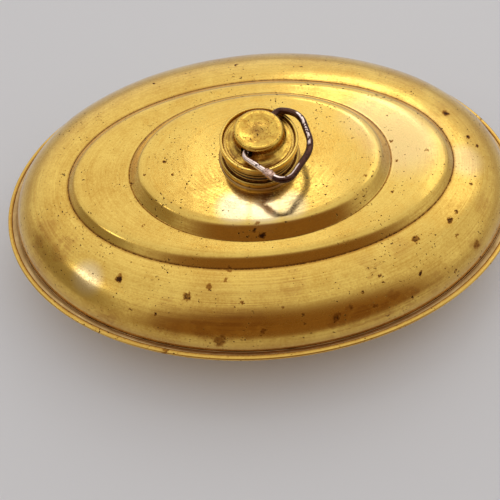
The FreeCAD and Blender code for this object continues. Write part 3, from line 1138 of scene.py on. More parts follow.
@dataclass(frozen=True)
class Pressings:
    """The two pressed shells, from the rim inwards, in metres."""

    sheet: float = 0.8 * MM
    flange_end: float = 6.5 * MM
    flange_side: float = 3.8 * MM
    hem_return: float = 2.6 * MM
    hem_clearance: float = 0.1 * MM
    hem_round: float = 0.3 * MM
    rim_round: float = 1.0 * MM
    rim_age_reach: float = 3.0 * MM
    foot_round: float = 0.3 * MM
    foot_age_and_shade_reach: float = 8.0 * MM
    shoulder_end: float = 35.0 * MM
    shoulder_side: float = 36.0 * MM
    lower_riser: float = 4.4 * MM
    lower_run: float = 5.5 * MM
    lower_crease_round: float = 0.35 * MM
    ledge_end: float = 29.0 * MM
    ledge_side: float = 7.3 * MM
    upper_riser: float = 6.6 * MM
    upper_run: float = 6.5 * MM
    upper_crease_round: float = 0.5 * MM
    crest_round: float = 2.4 * MM
    crease_grime_reach: float = 0.5 * MM
    hole_radius: float = 16.1 * MM
    bowl_end: float = 40.0 * MM
    bowl_side: float = 38.0 * MM
    ring_width: float = 7.0 * MM
    panel_rise: float = 1.6 * MM
    panel_run: float = 2.4 * MM
    panel_round: float = 0.9 * MM
    step: float = 2.0 * MM
    tight: float = 0.85
    columns: int = 352
    wobble: float = 0.10 * MM
    wobble_length: float = 55 * MM
    true_seat: Span = (26 * MM, 40 * MM)
    true_seam: Span = (1.5 * MM, 8 * MM)
    true_ring: Span = (3 * MM, 10 * MM)
    seed: int = 11

    @property
    def seam(self) -> float:
        """Height of the plane where the two flanges meet."""
        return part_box("lower_shell")[1].z - 2 * self.sheet

    @property
    def plateau(self) -> float:
        """Height of the flat top."""
        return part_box("upper_shell")[1].z

    @property
    def rim(self) -> Corner:
        """The outer edge of the hemmed rim, at the seam."""
        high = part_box("lower_shell")[1]
        return Corner(high.x, high.y, self.seam)

    @property
    def hem(self) -> Corner:
        """The inner edge of the folded hem, at the seam."""
        return self.rim.inset(self.hem_return)

    @property
    def foot(self) -> Corner:
        """Where the walls of both shells meet the flanges."""
        return self.rim.stepped(-self.flange_end, -self.flange_side)

    def section(self, corners: Sequence[Corner], closed: bool) -> Section:
        """A section of the sheet."""
        return Section(corners, closed, self.step, self.columns, self.crease_grime_reach, tight=self.tight)

    def upper_section(self) -> Section:
        """Draws the top pressing: plateau, risers, ledge, shoulder and flange, then back along the inside.

        Returns:
            Its section.
        """
        sheet, crest, foot = self.sheet, self.crest_round, self.foot
        height = self.plateau - self.upper_riser - self.lower_riser - self.seam
        wall = height - sheet
        shoulder = foot.lifted(height)
        lower_crease = shoulder.stepped(-self.shoulder_end, -self.shoulder_side)
        lower_crest = lower_crease.inset(self.lower_run, self.lower_riser)
        upper_crease = lower_crest.stepped(-self.ledge_end, -self.ledge_side)
        upper_crest = upper_crease.inset(self.upper_run, self.upper_riser)
        hole = ring(self.hole_radius, self.plateau)
        edge = self.rim.inset(sheet + self.hem_clearance)
        corners = [
            hole,
            upper_crest.rounded(crest, wear=0.8),
            upper_crease.rounded(self.upper_crease_round, grime=0.85),
            lower_crest.rounded(crest, wear=0.7),
            lower_crease.rounded(self.lower_crease_round, grime=1.0),
            shoulder.rounded(self.shoulder_side - self.lower_crease_round, wall - self.foot_round),
            # Brown towards the foot: dirt at the seam, and painted shade standing for the dark reflection low
            # on the shoulder.
            foot.lifted(sheet).rounded(self.foot_round, grime=0.6).aged_and_shaded(0.8, self.foot_age_and_shade_reach),
            edge.lifted(sheet),
            edge,
            foot.inset(sheet),
            shoulder.inset(sheet, -sheet).rounded(wall, self.shoulder_side),
            lower_crease.inset(sheet, -sheet),
            lower_crest.inset(sheet, -sheet).rounded(crest),
            upper_crease.inset(sheet, -sheet).rounded(self.upper_crease_round),
            upper_crest.inset(sheet, -sheet).rounded(crest),
            hole.lifted(-sheet),
        ]
        return self.section(corners, closed=True)

    def lower_section(self) -> Section:
        """Draws the bottom pressing: inside of the panel and bowl, hem, then back along the outside.

        Returns:
            Its section.
        """
        sheet, low = self.sheet, self.panel_round
        rim, hem, foot = self.rim, self.hem, self.foot
        wall = self.seam - sheet
        bowl = foot.lifted(-self.seam)
        inner = bowl.stepped(-self.bowl_end, -self.bowl_side).inset(self.ring_width)
        panel = inner.inset(self.panel_run, self.panel_rise)
        corners = [
            ring(0.0, panel.height + sheet),
            panel.inset(sheet, sheet).rounded(low),
            inner.inset(sheet, sheet).rounded(low),
            bowl.inset(sheet, sheet).rounded(self.bowl_side, wall),
            foot.inset(sheet),
            rim.inset(sheet),
            rim.inset(sheet, sheet),
            hem.lifted(sheet),
            hem.lifted(2 * sheet).rounded(self.hem_round, grime=0.7),
            rim.lifted(2 * sheet).rounded(self.rim_round, wear=0.7).aged_and_shaded(0.6, self.rim_age_reach),
            rim.lifted(-sheet).rounded(self.rim_round, wear=0.8),
            foot.lifted(-sheet).rounded(self.foot_round, grime=1.0),
            bowl.rounded(wall - self.foot_round, self.bowl_side),
            inner.rounded(low, grime=0.5, wear=0.3),
            panel.rounded(low, grime=0.7),
            ring(0.0, panel.height),
        ]
        return self.section(corners, closed=False)

    def wavy(self, skin: Skin, keep: Array, seed: int) -> None:
        """Gives the sheet the slight waviness of hand-finished pressing, where keep allows it."""
        skin.swell(ripples(skin.points, self.wobble_length, seed) * self.wobble * keep)

    def build_upper(self) -> Thing:
        """Makes the top pressing; its flange and the seat of the neck stay flat.

        Returns:
            Its object.
        """
        skin = self.upper_section().carried_round()
        reach = np.hypot(skin.points[..., 0], skin.points[..., 1])
        height = skin.points[..., 2] - self.seam
        self.wavy(skin, smoothstep(reach, *self.true_seat) * smoothstep(height, *self.true_seam), self.seed)
        return skin.build("upper_pressing")

    def build_lower(self) -> Thing:
        """Makes the bottom pressing; its rim and standing ring stay level.

        Returns:
            Its object.
        """
        skin = self.lower_section().carried_round()
        height = skin.points[..., 2]
        keep = smoothstep(height, *self.true_ring) * smoothstep(self.seam - height, *self.true_seam)
        self.wavy(skin, keep, self.seed + 1)
        return skin.build("lower_pressing")


@dataclass(frozen=True)
class ScrewThread:
    """A rounded screw thread, shared by the plug and the neck so that they stay in step."""

    pitch: float = 2.5 * MM
    depth: float = 1.0 * MM
    run_out: float = 0.9 * MM
    hollow_power: float = 0.7
    wall_tolerance: float = 0.01 * MM

    def raise_on(self, skin: Skin, radius: float, low: float, high: float, outwards: bool) -> None:
        """Raises the thread on the part of a skin that lies on a cylinder.

        The hollow's depth is a raised cosine of the height in pitches less the turn, to the hollow power, and
        the thread fades at both ends. A thread in a bore fills what the plug's thread leaves.

        Args:
            skin: the turned piece.
            radius: the cylinder's radius.
            low: where the thread starts.
            high: where it ends.
            outwards: True on a plug, False in a bore.
        """
        x, y, z = np.moveaxis(skin.points, -1, 0)
        phase = z / self.pitch - np.arctan2(y, x) / FULL_TURN
        hollow = (0.5 - 0.5 * np.cos(FULL_TURN * phase)) ** self.hollow_power
        held = smoothstep(z, low, low + self.run_out) * smoothstep(-z, -high, -high + self.run_out)
        ridge = (1 - hollow) if outwards else -hollow
        on_wall = np.abs(np.hypot(x, y) - radius) < self.wall_tolerance
        grown = 1 + np.where(on_wall, ridge * held * self.depth / radius, 0.0)
        skin.points[..., :2] *= grown[..., None]


@dataclass(frozen=True)
class FillerNeck:
    """The turned neck."""

    shells: Pressings
    thread: ScrewThread
    bore: float = 13.0 * MM
    wall: float = 3.0 * MM
    flange: float = 20.6 * MM
    flange_thickness: float = 4.3 * MM
    flange_round: float = 0.9 * MM
    flange_shade_reach: float = 4.0 * MM
    collar: float = 18.6 * MM
    collar_shade_reach: float = 3.0 * MM
    edge: float = 0.5 * MM
    thread_above_end: float = 0.5 * MM
    thread_below_mouth: float = 0.6 * MM
    step: float = 0.22 * MM
    columns: int = 192

    def build(self) -> Thing:
        """Makes the neck, from its top face outwards and back up the threaded bore.

        Returns:
            Its object.
        """
        low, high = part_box("filler_neck")
        plateau = self.shells.plateau
        spigot = self.bore + self.wall
        flange_top = plateau + self.flange_thickness
        corners = [
            ring(self.bore, high.z, self.edge),
            ring(self.collar, high.z, self.edge, wear=0.6),
            # Dark in the corner where the collar meets the flange: painted shade.
            ring(self.collar, flange_top, BROKEN_EDGE, grime=1.0).aged_and_shaded(1.0, self.collar_shade_reach),
            ring(self.flange, flange_top, self.flange_round, wear=0.5),
            # Dark along the flange's foot on the plateau: painted shade.
            ring(self.flange, plateau, SHARP_EDGE, grime=0.5).aged_and_shaded(1.0, self.flange_shade_reach),
            ring(spigot, plateau, SHARP_EDGE),
            ring(spigot, low.z, BROKEN_EDGE),
            ring(self.bore, low.z, BROKEN_EDGE),
        ]
        skin = Section(corners, True, self.step, self.columns).carried_round()
        ends = low.z + self.thread_above_end, high.z - self.thread_below_mouth
        self.thread.raise_on(skin, self.bore, *ends, outwards=False)
        return skin.build("neck_turning")


@dataclass(frozen=True)
class Seams:
    """The solder runs at the rim and round the neck."""

    shells: Pressings
    neck: FillerNeck
    rim_drop: float = 0.3 * MM
    rim_rise: float = 1.8 * MM
    rim_land: float = 0.25 * MM
    rim_gap: float = 0.02 * MM
    rim_step: float = 0.3 * MM
    rim_columns: int = 720
    lump: float = 0.06 * MM
    lump_length: float = 9.0 * MM
    lump_sheets: Span = (1.1, 1.5)
    bead_leg: float = 0.7 * MM
    bead_out: float = 0.5
    bead_up: float = 0.6
    bead_round: float = 0.2
    bead_step: float = 0.15 * MM
    bead_columns: int = 288
    seed: int = 31

    def build_rim(self) -> Thing:
        """Makes the hollow run between hem and shoulder; its face is lumpy and its seat stays true.

        Returns:
            Its object.
        """
        shells, hem = self.shells, self.shells.hem
        sheet = shells.sheet
        foot = shells.foot.stepped(self.rim_gap, self.rim_gap)
        land = foot.stepped(self.rim_land, self.rim_land)
        level = 2 * sheet - self.rim_drop
        height = self.rim_drop + self.rim_rise
        corners = [
            foot.lifted(level + height),
            land.lifted(level + height).rounded(SHARP_EDGE, grime=0.4),
            land.lifted(level).rounded(height - SHARP_EDGE, hem.half_width - land.half_width),
            hem.lifted(level).rounded(0.0, grime=0.8),
            hem.lifted(sheet),
            foot.lifted(sheet),
        ]
        skin = Section(corners, True, self.rim_step, self.rim_columns).carried_round()
        face = smoothstep((skin.points[..., 2] - shells.seam) / sheet, *self.lump_sheets)
        skin.swell(ripples(skin.points, self.lump_length, self.seed) * self.lump * face)
        return skin.build("rim_solder_run")

    def build_neck(self) -> Thing:
        """Makes the fine bead of solder round the neck's flange.

        Returns:
            Its object.
        """
        flange, plateau, leg = self.neck.flange, self.shells.plateau, self.bead_leg
        corners = [
            ring(flange, plateau + leg),
            ring(flange + self.bead_out * leg, plateau + self.bead_up * leg, self.bead_round * leg),
            ring(flange + leg, plateau),
            ring(flange, plateau),
        ]
        skin = Section(corners, True, self.bead_step, self.bead_columns).carried_round()
        return skin.build("neck_solder_run")


@dataclass(frozen=True)
class SealingWasher:
    """The leather washer, squeezed a little out of true."""

    inner: float = 13.15 * MM
    edge: float = 0.5 * MM
    bulge: float = 0.25 * MM
    bulge_length: float = 9 * MM
    bulge_width: float = 2 * MM
    step: float = 0.25 * MM
    columns: int = 160
    seed: int = 53

    def build(self) -> Thing:
        """Makes the washer; its rim waves in and out by the bulge.

        Returns:
            Its object.
        """
        low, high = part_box("sealing_washer")
        outer = high.x
        corners = [
            ring(self.inner, high.z, BROKEN_EDGE),
            ring(outer, high.z, self.edge),
            ring(outer, low.z, self.edge),
            ring(self.inner, low.z, BROKEN_EDGE),
        ]
        skin = Section(corners, True, self.step, self.columns).carried_round()
        reach = np.hypot(skin.points[..., 0], skin.points[..., 1])
        rim = smoothstep(reach, outer - self.bulge_width, outer)
        drawn_in = 0.5 + 0.5 * ripples(skin.points, self.bulge_length, self.seed, limit=1.0)
        skin.points[..., :2] *= (1 - rim * drawn_in * self.bulge / outer)[..., None]
        return skin.build("leather_washer")


@dataclass(frozen=True)
class Stopper:
    """The screw stopper: turned head and plug, and the knob in its dish."""

    thread: ScrewThread
    skirt: float = 18.8 * MM
    skirt_height: float = 1.3 * MM
    skirt_round: float = 0.4 * MM
    groove_depth: float = 2.0 * MM
    groove_height: float = 1.4 * MM
    groove_round: float = 0.25 * MM
    lip: float = 19.7 * MM
    lip_height: float = 5.3 * MM
    lip_foot_round: float = 1.9 * MM
    lip_thickness: float = 1.5 * MM
    lip_shade_reach: float = 4.8 * MM
    head_shade_reach: float = 2.0 * MM
    dish_depth: float = 2.2 * MM
    dish_round: float = 0.8 * MM
    dish_age_reach: float = 1.5 * MM
    plug: float = 12.75 * MM
    plug_wall: float = 2.2 * MM
    plug_round: float = 0.3 * MM
    plug_bore: float = 9.0 * MM
    plug_bore_round: float = 0.4 * MM
    thread_above_end: float = 0.4 * MM
    thread_below_head: float = 2.2 * MM
    edge: float = 0.5 * MM
    peg: float = 3.5 * MM
    peg_length: float = 2.4 * MM
    peg_gap: float = 0.05 * MM
    knob: float = 12.3 * MM
    knob_waist: float = 11.1 * MM
    waist_round: float = 0.4 * MM
    waist_shade_reach: float = 3.0 * MM
    knob_foot: float = 16.6 * MM
    knob_foot_thickness: float = 0.6 * MM
    knob_flare: float = 5.0 * MM
    knob_cap: float = 3.0 * MM
    knob_round: float = 1.7 * MM
    knob_cap_round: float = 0.9 * MM
    dimple: float = 9.9 * MM
    dimple_round: float = 0.6 * MM
    dimple_depth: float = 1.0 * MM
    dimple_floor: float = 4.5 * MM
    dimple_floor_round: float = 3.5 * MM
    dimple_age_reach: float = 6.5 * MM
    uneven: float = 0.03 * MM
    uneven_length: float = 6 * MM
    uneven_limit: float = 1.2
    uneven_above_cap: Span = (1.0 * MM, 2.0 * MM)
    hole: float = 3.4 * MM
    hole_sides: int = 48
    drill_reach: float = 20 * MM
    sharp_from: float = math.radians(45)
    body_step: float = 0.28 * MM
    knob_step: float = 0.3 * MM
    columns: int = 224
    seed: int = 71

    @property
    def dish(self) -> float:
        """Height of the dish's floor."""
        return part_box("stopper_body")[1].z - self.dish_depth

    def build_body(self) -> Thing:
        """Makes the head and threaded plug, from the peg's socket outwards and down.

        Returns:
            Its object.
        """
        low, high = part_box("stopper_body")
        lip_inner = self.lip - self.lip_thickness
        groove = self.lip - self.groove_depth
        groove_top = high.z - self.lip_height
        skirt_top = groove_top - self.groove_height
        under = skirt_top - self.skirt_height
        socket = self.peg + self.peg_gap
        socket_end = self.dish - self.peg_length - self.peg_gap
        root = self.plug - self.thread.depth
        bore = self.plug - self.plug_wall
        bore_end = low.z + self.plug_bore
        corners = [
            ring(0.0, socket_end),
            ring(socket, socket_end),
            ring(socket, self.dish, SHARP_EDGE),
            ring(lip_inner, self.dish, self.dish_round, grime=0.4).aged_and_shaded(0.4, self.dish_age_reach),
            ring(lip_inner, high.z, self.edge, wear=0.9),
            ring(self.lip, high.z, self.edge, wear=1.0),
            # The lip's outer wall, the groove and the skirt's underside are darkened: painted shade, which
            # also darkens their reflection in the plateau.
            ring(self.lip, groove_top, self.lip_foot_round).aged_and_shaded(1.0, self.lip_shade_reach),
            ring(groove, groove_top, self.groove_round, grime=1.0).aged_and_shaded(1.0, self.head_shade_reach),
            ring(groove, skirt_top, self.groove_round, grime=1.0).aged_and_shaded(1.0, self.head_shade_reach),
            ring(self.skirt, skirt_top, self.skirt_round, wear=0.3),
            ring(self.skirt, under, self.edge, grime=0.5).aged_and_shaded(0.8, self.head_shade_reach),
            ring(root, under, BROKEN_EDGE, grime=0.8),
            ring(root, low.z, self.plug_round),
            ring(bore, low.z, BROKEN_EDGE),
            ring(bore, bore_end, self.plug_bore_round),
            ring(0.0, bore_end),
        ]
        skin = Section(corners, False, self.body_step, self.columns).carried_round()
        ends = low.z + self.thread_above_end, under - self.thread_below_head
        self.thread.raise_on(skin, root, *ends, outwards=True)
        return skin.build("stopper_turning")

    def build_knob(self) -> Thing:
        """Makes the knob, whose cap is worn uneven by hand.

        Returns:
            Its object, not yet drilled.
        """
        low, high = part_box("stopper_knob")
        dimple_bottom = high.z - self.dimple_depth
        cap_bottom = high.z - self.knob_cap
        foot_top = self.dish + self.knob_foot_thickness
        corners = [
            ring(0.0, dimple_bottom).aged_and_shaded(1.0, self.dimple_age_reach),
            ring(self.dimple_floor, dimple_bottom, self.dimple_floor_round),
            ring(self.dimple, high.z, self.dimple_round),
            ring(self.knob, high.z, self.knob_round, wear=1.0),
            ring(self.knob, cap_bottom, self.knob_cap_round, wear=0.3),
            # Dark under the cap: painted shade.
            ring(self.knob_waist, cap_bottom, self.waist_round, grime=1.0).aged_and_shaded(1.0, self.waist_shade_reach),
            ring(self.knob_waist, foot_top, self.knob_flare),
            ring(self.knob_foot, foot_top, BROKEN_EDGE),
            # Dark where the knob's foot meets the dish: painted shade.
            ring(self.knob_foot, self.dish, SHARP_EDGE, grime=0.5),
            ring(self.peg, self.dish, SHARP_EDGE),
            ring(self.peg, low.z, BROKEN_EDGE),
            ring(0.0, low.z),
        ]
        skin = Section(corners, False, self.knob_step, self.columns).carried_round()
        free = smoothstep(skin.points[..., 2] - cap_bottom, *self.uneven_above_cap)
        lumps = ripples(skin.points, self.uneven_length, self.seed, self.uneven_limit)
        skin.swell((lumps - self.uneven_limit) * self.uneven * free)
        return skin.build("knob_casting")

    def drill(self, knob: Thing, axis: float, bearing: float) -> Thing:
        """Drills the bail's cross hole through the knob, and paints shade on the hole's walls.

        Args:
            knob: the knob's object.
            axis: height of the hole's middle.
            bearing: the hole's direction, from +X.

        Returns:
            The same object, with the drilled mesh.
        """
        along = np.array([math.cos(bearing), math.sin(bearing), 0.0])
        circle = circle_in(np.cross(UP, along), np.array(UP), self.hole_sides)
        radii = np.array([0.0, self.hole, self.hole, 0.0])
        places = np.array([-1, -1, 1, 1]) * self.drill_reach
        points = places[:, None, None] * along + radii[:, None, None] * circle + np.array(UP) * axis
        # The hole's walls carry full grime: painted shade inside the hole.
        hole_shade = {Carried.GRIME: np.ones(points.shape[:2])}
        drill = Skin(points[:, ::-1], hole_shade, False).build("drill")
        cut = knob.modifiers.new("cross_hole", "BOOLEAN")
        cut.operation = "DIFFERENCE"
        cut.solver = "EXACT"
        cut.object = drill
        drilled = bpy.data.meshes.new_from_object(knob.evaluated_get(bpy.context.evaluated_depsgraph_get()))
        knob.modifiers.clear()
        knob.data = drilled
        bpy.data.objects.remove(drill)
        drilled.set_sharp_from_angle(angle=self.sharp_from)
        return knob


@dataclass(frozen=True)
class Bail:
    """The bent wire bail and the braze over its joint."""

    wire: float = 1.75 * MM
    bearing: float = math.radians(53.0)
    reach: float = 26.3 * MM
    near_foot: float = 14.4 * MM
    near_side: float = 17.6 * MM
    far_foot: float = 17.8 * MM
    far_side: float = 22.6 * MM
    far_side_reach: float = 10.2 * MM
    far_tip: float = 7.7 * MM
    bends: tuple[float, ...] = (3.0 * MM, 4.0 * MM, 10.8 * MM, 16.0 * MM, 6.2 * MM)
    joint: float = 16.2 * MM
    joint_gap: float = 0.5 * MM
    sides: int = 48
    step: float = 0.35 * MM
    kink: float = 0.08 * MM
    kink_length: float = 22 * MM
    kinked_out: Span = (4 * MM, 10 * MM)
    uneven: float = 0.02
    uneven_length: float = 6 * MM
    bare_along: Span = (10 * MM, 13 * MM)
    bare_fade: float = 1 * MM
    bare_loss: float = 0.1
    highlight_side: Direction = (-0.25, 0.35, 0.9)
    highlight_shares: Span = (0.90, 0.98)
    highlight_length: float = 18 * MM
    highlight_breaks: Span = (-0.5, 0.4)
    braze_length: float = 6.0 * MM
    braze_radius: float = 2.05 * MM
    braze_rows: int = 49
    braze_end_power: int = 40
    lump: float = 0.25 * MM
    lump_length: float = 2.4 * MM
    seed: int = 91

    @property
    def height(self) -> float:
        """Height of the wire's centre line at rest."""
        low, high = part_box("bail_ring")
        return (low.z + high.z) / 2

    @property
    def along(self) -> Array:
        """The direction of the cross hole."""
        return np.array([math.cos(self.bearing), math.sin(self.bearing), 0.0])

    @property
    def out(self) -> Array:
        """The direction that the bail reaches out in at rest."""
        return np.array([math.sin(self.bearing), -math.cos(self.bearing), 0.0])

    def at(self, along: float, out: float) -> Array:
        """A point of the bail's plane, along the cross hole and out from it."""
        return along * self.along + out * self.out + np.array(UP) * self.height

    def near_leg(self, out: float) -> Array:
        """A point of the near leg, which leans out from its foot."""
        lean = (self.near_side - self.near_foot) * out / self.reach
        return self.at(-self.near_foot - lean, out)

    def centre_line(self) -> Array:
        """Draws the wire's line from the joint round to the joint again: straight runs with round bends.

        Returns:
            The samples along it.
        """
        corners = np.array(
            [
                self.near_leg(self.joint - self.joint_gap / 2),
                self.near_leg(0),
                self.at(self.far_foot, 0),
                self.at(self.far_side, self.far_side_reach),
                self.at(self.far_tip, self.reach),
                self.near_leg(self.reach),
                self.near_leg(self.joint + self.joint_gap / 2),
            ]
        )
        legs = np.diff(corners, axis=0)
        legs /= np.linalg.norm(legs, axis=1, keepdims=True)
        turns = np.arccos(np.sum(legs[:-1] * legs[1:], axis=1))
        setbacks = [0.0, *(np.array(self.bends) * np.tan(turns / 2)), 0.0]
        line, _ = rounded_line(corners, setbacks, setbacks, False, self.step, across=slice(None))
        return line

    def build_wire(self) -> Thing:
        """Makes the wire: a circle carried along the line, with small kinks and an uneven thickness.

        Its ends are rounded as quarter circles. It is worn where it is bare by the joint, and carries a
        painted
        highlight: a broken pale streak on the side that faces up and back.

        Returns:
            Its object.
        """
        line = self.centre_line()
        along, out = line @ self.along, line @ self.out
        kinks = ripples(line, self.kink_length, self.seed, limit=1.0) * self.kink
        line = line + np.array(UP) * (kinks * smoothstep(out, *self.kinked_out))[:, None]
        heading = np.gradient(line, axis=0)
        heading /= np.linalg.norm(heading, axis=1, keepdims=True)
        side = np.cross(heading, UP)
        side /= np.linalg.norm(side, axis=1, keepdims=True)
        circle = circle_in(side, np.cross(side, heading), self.sides)
        short_of_joint = smoothstep(self.joint - out, -self.bare_fade, self.bare_fade)
        bare = smoothstep(-along, *self.bare_along) * short_of_joint
        uneven = self.uneven * (1 + ripples(line, self.uneven_length, self.seed + 1, limit=1.0))
        rows = np.arange(len(line))
        from_tip = np.clip(np.minimum(rows, rows[::-1]) * self.step / self.wire, 0.0, 1.0)
        thick = self.wire * (1 - uneven - self.bare_loss * bare) * np.sqrt(1 - (1 - from_tip) ** 2)
        points = line[:, None] + circle * thick[:, None, None]
        # Painted highlight: a broken pale streak on the side that faces up and back, carried in the wear
        # values.
        facing = circle @ np.array(self.highlight_side)
        facing = facing / facing.max(axis=1, keepdims=True)
        broken = smoothstep(ripples(line, self.highlight_length, self.seed + 3), *self.highlight_breaks)
        streak = smoothstep(facing, *self.highlight_shares) * broken[:, None]
        return Skin(points, {Carried.WEAR: np.maximum(streak, bare[:, None])}, False).build("bail_wire")

    def build_braze(self) -> Thing:
        """Makes the lump of braze: a barrel round the wire, whose swell and lumps follow a half circle.

        Returns:
            Its object.
        """
        share = np.linspace(-1, 1, self.braze_rows)
        heading = self.near_leg(self.reach) - self.near_leg(0)
        heading /= np.linalg.norm(heading)
        circle = circle_in(np.cross(heading, UP), np.array(UP), self.sides)
        line = self.near_leg(self.joint) + share[:, None] * heading * self.braze_length / 2
        swell = np.sqrt(1 - share**2)
        radius = (self.wire + (self.braze_radius - self.wire) * swell)[:, None]
        points = line[:, None] + circle * radius[..., None]
        lumps = ripples(points, self.lump_length, self.seed + 2, limit=1.0) * self.lump * swell[:, None]
        ends = np.sqrt(1 - share**self.braze_end_power)[:, None]
        points = line[:, None] + circle * ((radius + lumps) * ends)[..., None]
        return Skin(points, {}, False).build("bail_braze_lump")


@dataclass(frozen=True)
class Lamp:
    """A soft rectangular lamp that points at the bottle."""

    name: str
    place: tuple[float, float, float]
    size: Span
    power: float
    aim: tuple[float, float, float] = (0.0, 0.0, 50 * MM)

    def build(self) -> None:
        """Makes the lamp and turns it towards the bottle's middle."""
        data = bpy.data.lights.new(self.name, "AREA")
        data.shape = "RECTANGLE"
        data.size, data.size_y = self.size
        data.energy = self.power
        lamp = placed(self.name, data)
        lamp.location = self.place
        lamp.rotation_euler = (Vector(self.aim) - Vector(self.place)).to_track_quat("-Z", "Y").to_euler()


@dataclass(frozen=True)
class Studio:
    """A pale floor, soft lamps and a pale surround: brighter behind, darker at the left and warm in front."""

    floor_colour: Colour = (0.72, 0.72, 0.73)
    floor_roughness: float = 0.7
    floor_reach: float = 4.0
    overhead: Colour = (0.78, 0.78, 0.79)
    low_down: Colour = (0.50, 0.46, 0.42)
    low_shares: Span = (-0.42, -0.05)
    horizon_shares: Span = (-0.16, -0.02)
    behind: Colour = (0.95, 0.95, 0.97)
    towards_behind: Direction = (0.0, 0.77, 0.64)
    behind_shares: Span = (0.5, 0.95)
    at_left: Colour = (0.30, 0.26, 0.20)
    towards_left: Direction = (-0.915, -0.225, 0.335)
    left_shares: Span = (0.86, 0.97)
    in_front: Colour = (0.22, 0.115, 0.045)
    towards_front: Direction = (0.1, -0.95, 0.3)
    front_shares: Span = (0.53, 0.84)
    lamps: tuple[Lamp, ...] = (
        Lamp("back_strip", (0.03, 0.76, 1.35), (0.34, 0.10), 0.30),
        Lamp("back_window", (0.40, 1.05, 1.04), (0.45, 0.35), 0.75),
        Lamp("left_softbox", (-0.99, -0.30, 0.94), (0.24, 0.18), 0.30),
        Lamp("right_softbox", (0.78, 0.48, 0.98), (0.70, 0.50), 0.62),
    )

    def build(self) -> None:
        """Makes the floor, the lamps and the world."""
        half = self.floor_reach
        corners = [(-half, -half, 0), (half, -half, 0), (half, half, 0), (-half, half, 0)]
        mesh = bpy.data.meshes.new("floor")
        mesh.from_pydata(corners, [], [(0, 1, 2, 3)])
        material, _, shader = new_material("pale_floor")
        shader.inputs["Base Color"].default_value = opaque(self.floor_colour)
        shader.inputs["Roughness"].default_value = self.floor_roughness
        mesh.materials.append(material)
        floor = placed("floor", mesh)
        for lamp in self.lamps:
            lamp.build()
        self.surround()
        bpy.context.scene.view_settings.view_transform = "Standard"

    def surround(self) -> None:
        """Makes the world: each side's colour comes in as the direction's share towards that side grows."""
        world = bpy.data.worlds.new("studio")
        world.use_nodes = True
        board = Board(world.node_tree)
        heading = board.node("ShaderNodeTexCoord").outputs["Generated"]
        colour: object = self.overhead
        for towards, shares, shade in (
            (DOWN, self.low_shares, self.low_down),
            (self.towards_behind, self.behind_shares, self.behind),
            (self.towards_left, self.left_shares, self.at_left),
            (self.towards_front, self.front_shares, self.in_front),
            (DOWN, self.horizon_shares, self.low_down),
        ):
            facing = board.vectors("DOT_PRODUCT", heading, towards).outputs["Value"]
            colour = board.mix(board.between(facing, *shares), colour, shade)
        board.feed(world.node_tree.nodes["Background"].inputs["Color"], colour)
        bpy.context.scene.world = world


def spots_of(*rows: tuple[float, float, float, float]) -> tuple[PixelSpot, ...]:
    """Spots from rows of their pixel across and down, their size in millimetres and their strength."""
    return tuple(PixelSpot((across, down), size * MM, strength) for across, down, size, strength in rows)


SPOTS = spots_of(
    (262, 236, 3.6, 1.0), (119, 279, 4.0, 0.9), (187, 297, 5.0, 0.7), (450, 220, 3.6, 0.8),
    (456, 212, 2.6, 0.7), (416, 239, 4.2, 0.75), (446, 113, 4.6, 0.85), (468, 137, 2.6, 0.9),
    (477, 146, 2.4, 0.8), (446, 140, 2.2, 0.7), (471, 184, 2.4, 0.7), (236, 65, 2.6, 0.8),
    (153, 84, 2.4, 0.8), (165, 161, 2.6, 0.8), (145, 174, 2.0, 0.7), (172, 175, 2.0, 0.7),
    (391, 141, 2.2, 0.7), (396, 161, 2.0, 0.6), (337, 317, 4.0, 0.6), (351, 307, 3.0, 0.5),
    (375, 307, 3.0, 0.5), (220, 341, 7.0, 0.5), (166, 349, 5.0, 0.6), (477, 245, 5.0, 0.5),
    (450, 180, 1.8, 0.8), (480, 258, 2.4, 0.7), (420, 274, 1.9, 0.8), (412, 298, 1.7, 0.8),
    (400, 282, 1.6, 0.7), (380, 275, 1.9, 0.8), (383, 283, 1.6, 0.7), (363, 292, 1.8, 0.7),
    (427, 150, 2.4, 0.5), (365, 176, 2.0, 0.6), (392, 192, 1.8, 0.7), (457, 235, 2.2, 0.6),
    (455, 272, 1.8, 0.7), (155, 315, 1.8, 0.9), (131, 309, 2.2, 0.6), (130, 185, 2.4, 0.8),
    (143, 226, 1.6, 0.7), (230, 269, 3.4, 0.7), (209, 287, 3.2, 0.6), (226, 280, 2.6, 0.5),
    (242, 303, 2.8, 0.5), (303, 315, 2.0, 0.7), (305, 323, 1.8, 0.7), (283, 307, 1.6, 0.7),
    (263, 332, 3.0, 0.5), (254, 231, 2.0, 0.7), (286, 222, 1.5, 0.9), (257, 224, 2.6, 0.4),
)
SMUDGES = spots_of(
    (47, 230, 18, 0.55), (62, 247, 14, 0.6), (36, 262, 12, 0.55), (75, 313, 14, 0.5),
    (107, 322, 16, 0.6), (170, 318, 20, 0.5), (200, 319, 20, 0.6), (228, 319, 20, 0.6),
    (255, 318, 18, 0.5), (215, 303, 34, 0.3), (265, 302, 34, 0.3), (290, 286, 14, 0.5),
    (400, 243, 14, 0.4), (370, 263, 14, 0.4), (338, 324, 13, 0.5), (362, 317, 13, 0.6),
    (387, 310, 14, 0.6), (412, 300, 13, 0.6), (434, 288, 12, 0.5), (475, 245, 14, 0.5),
    (483, 203, 10, 0.4), (440, 110, 14, 0.4),
)
# Painted highlights: pale discs where lamps shine off the ledges, shoulders and plateau.
PAINTED_HIGHLIGHTS = spots_of(
    (400, 136, 52, 0.4), (375, 122, 44, 0.35), (87, 278, 18, 0.6), (235, 208, 20, 0.85),
    (264, 210, 20, 0.85), (290, 205, 18, 0.6), (465, 160, 22, 0.35),
)
# Painted shadow on the knob: dark patches round the cross hole and under the wire and the cap's rim.
KNOB_PAINTED_SHADOWS = spots_of(
    (231, 136, 8, 0.55), (236, 152, 10, 0.9), (252, 163, 8, 0.8), (266, 166, 9, 0.95), (276, 162, 7, 0.7),
)

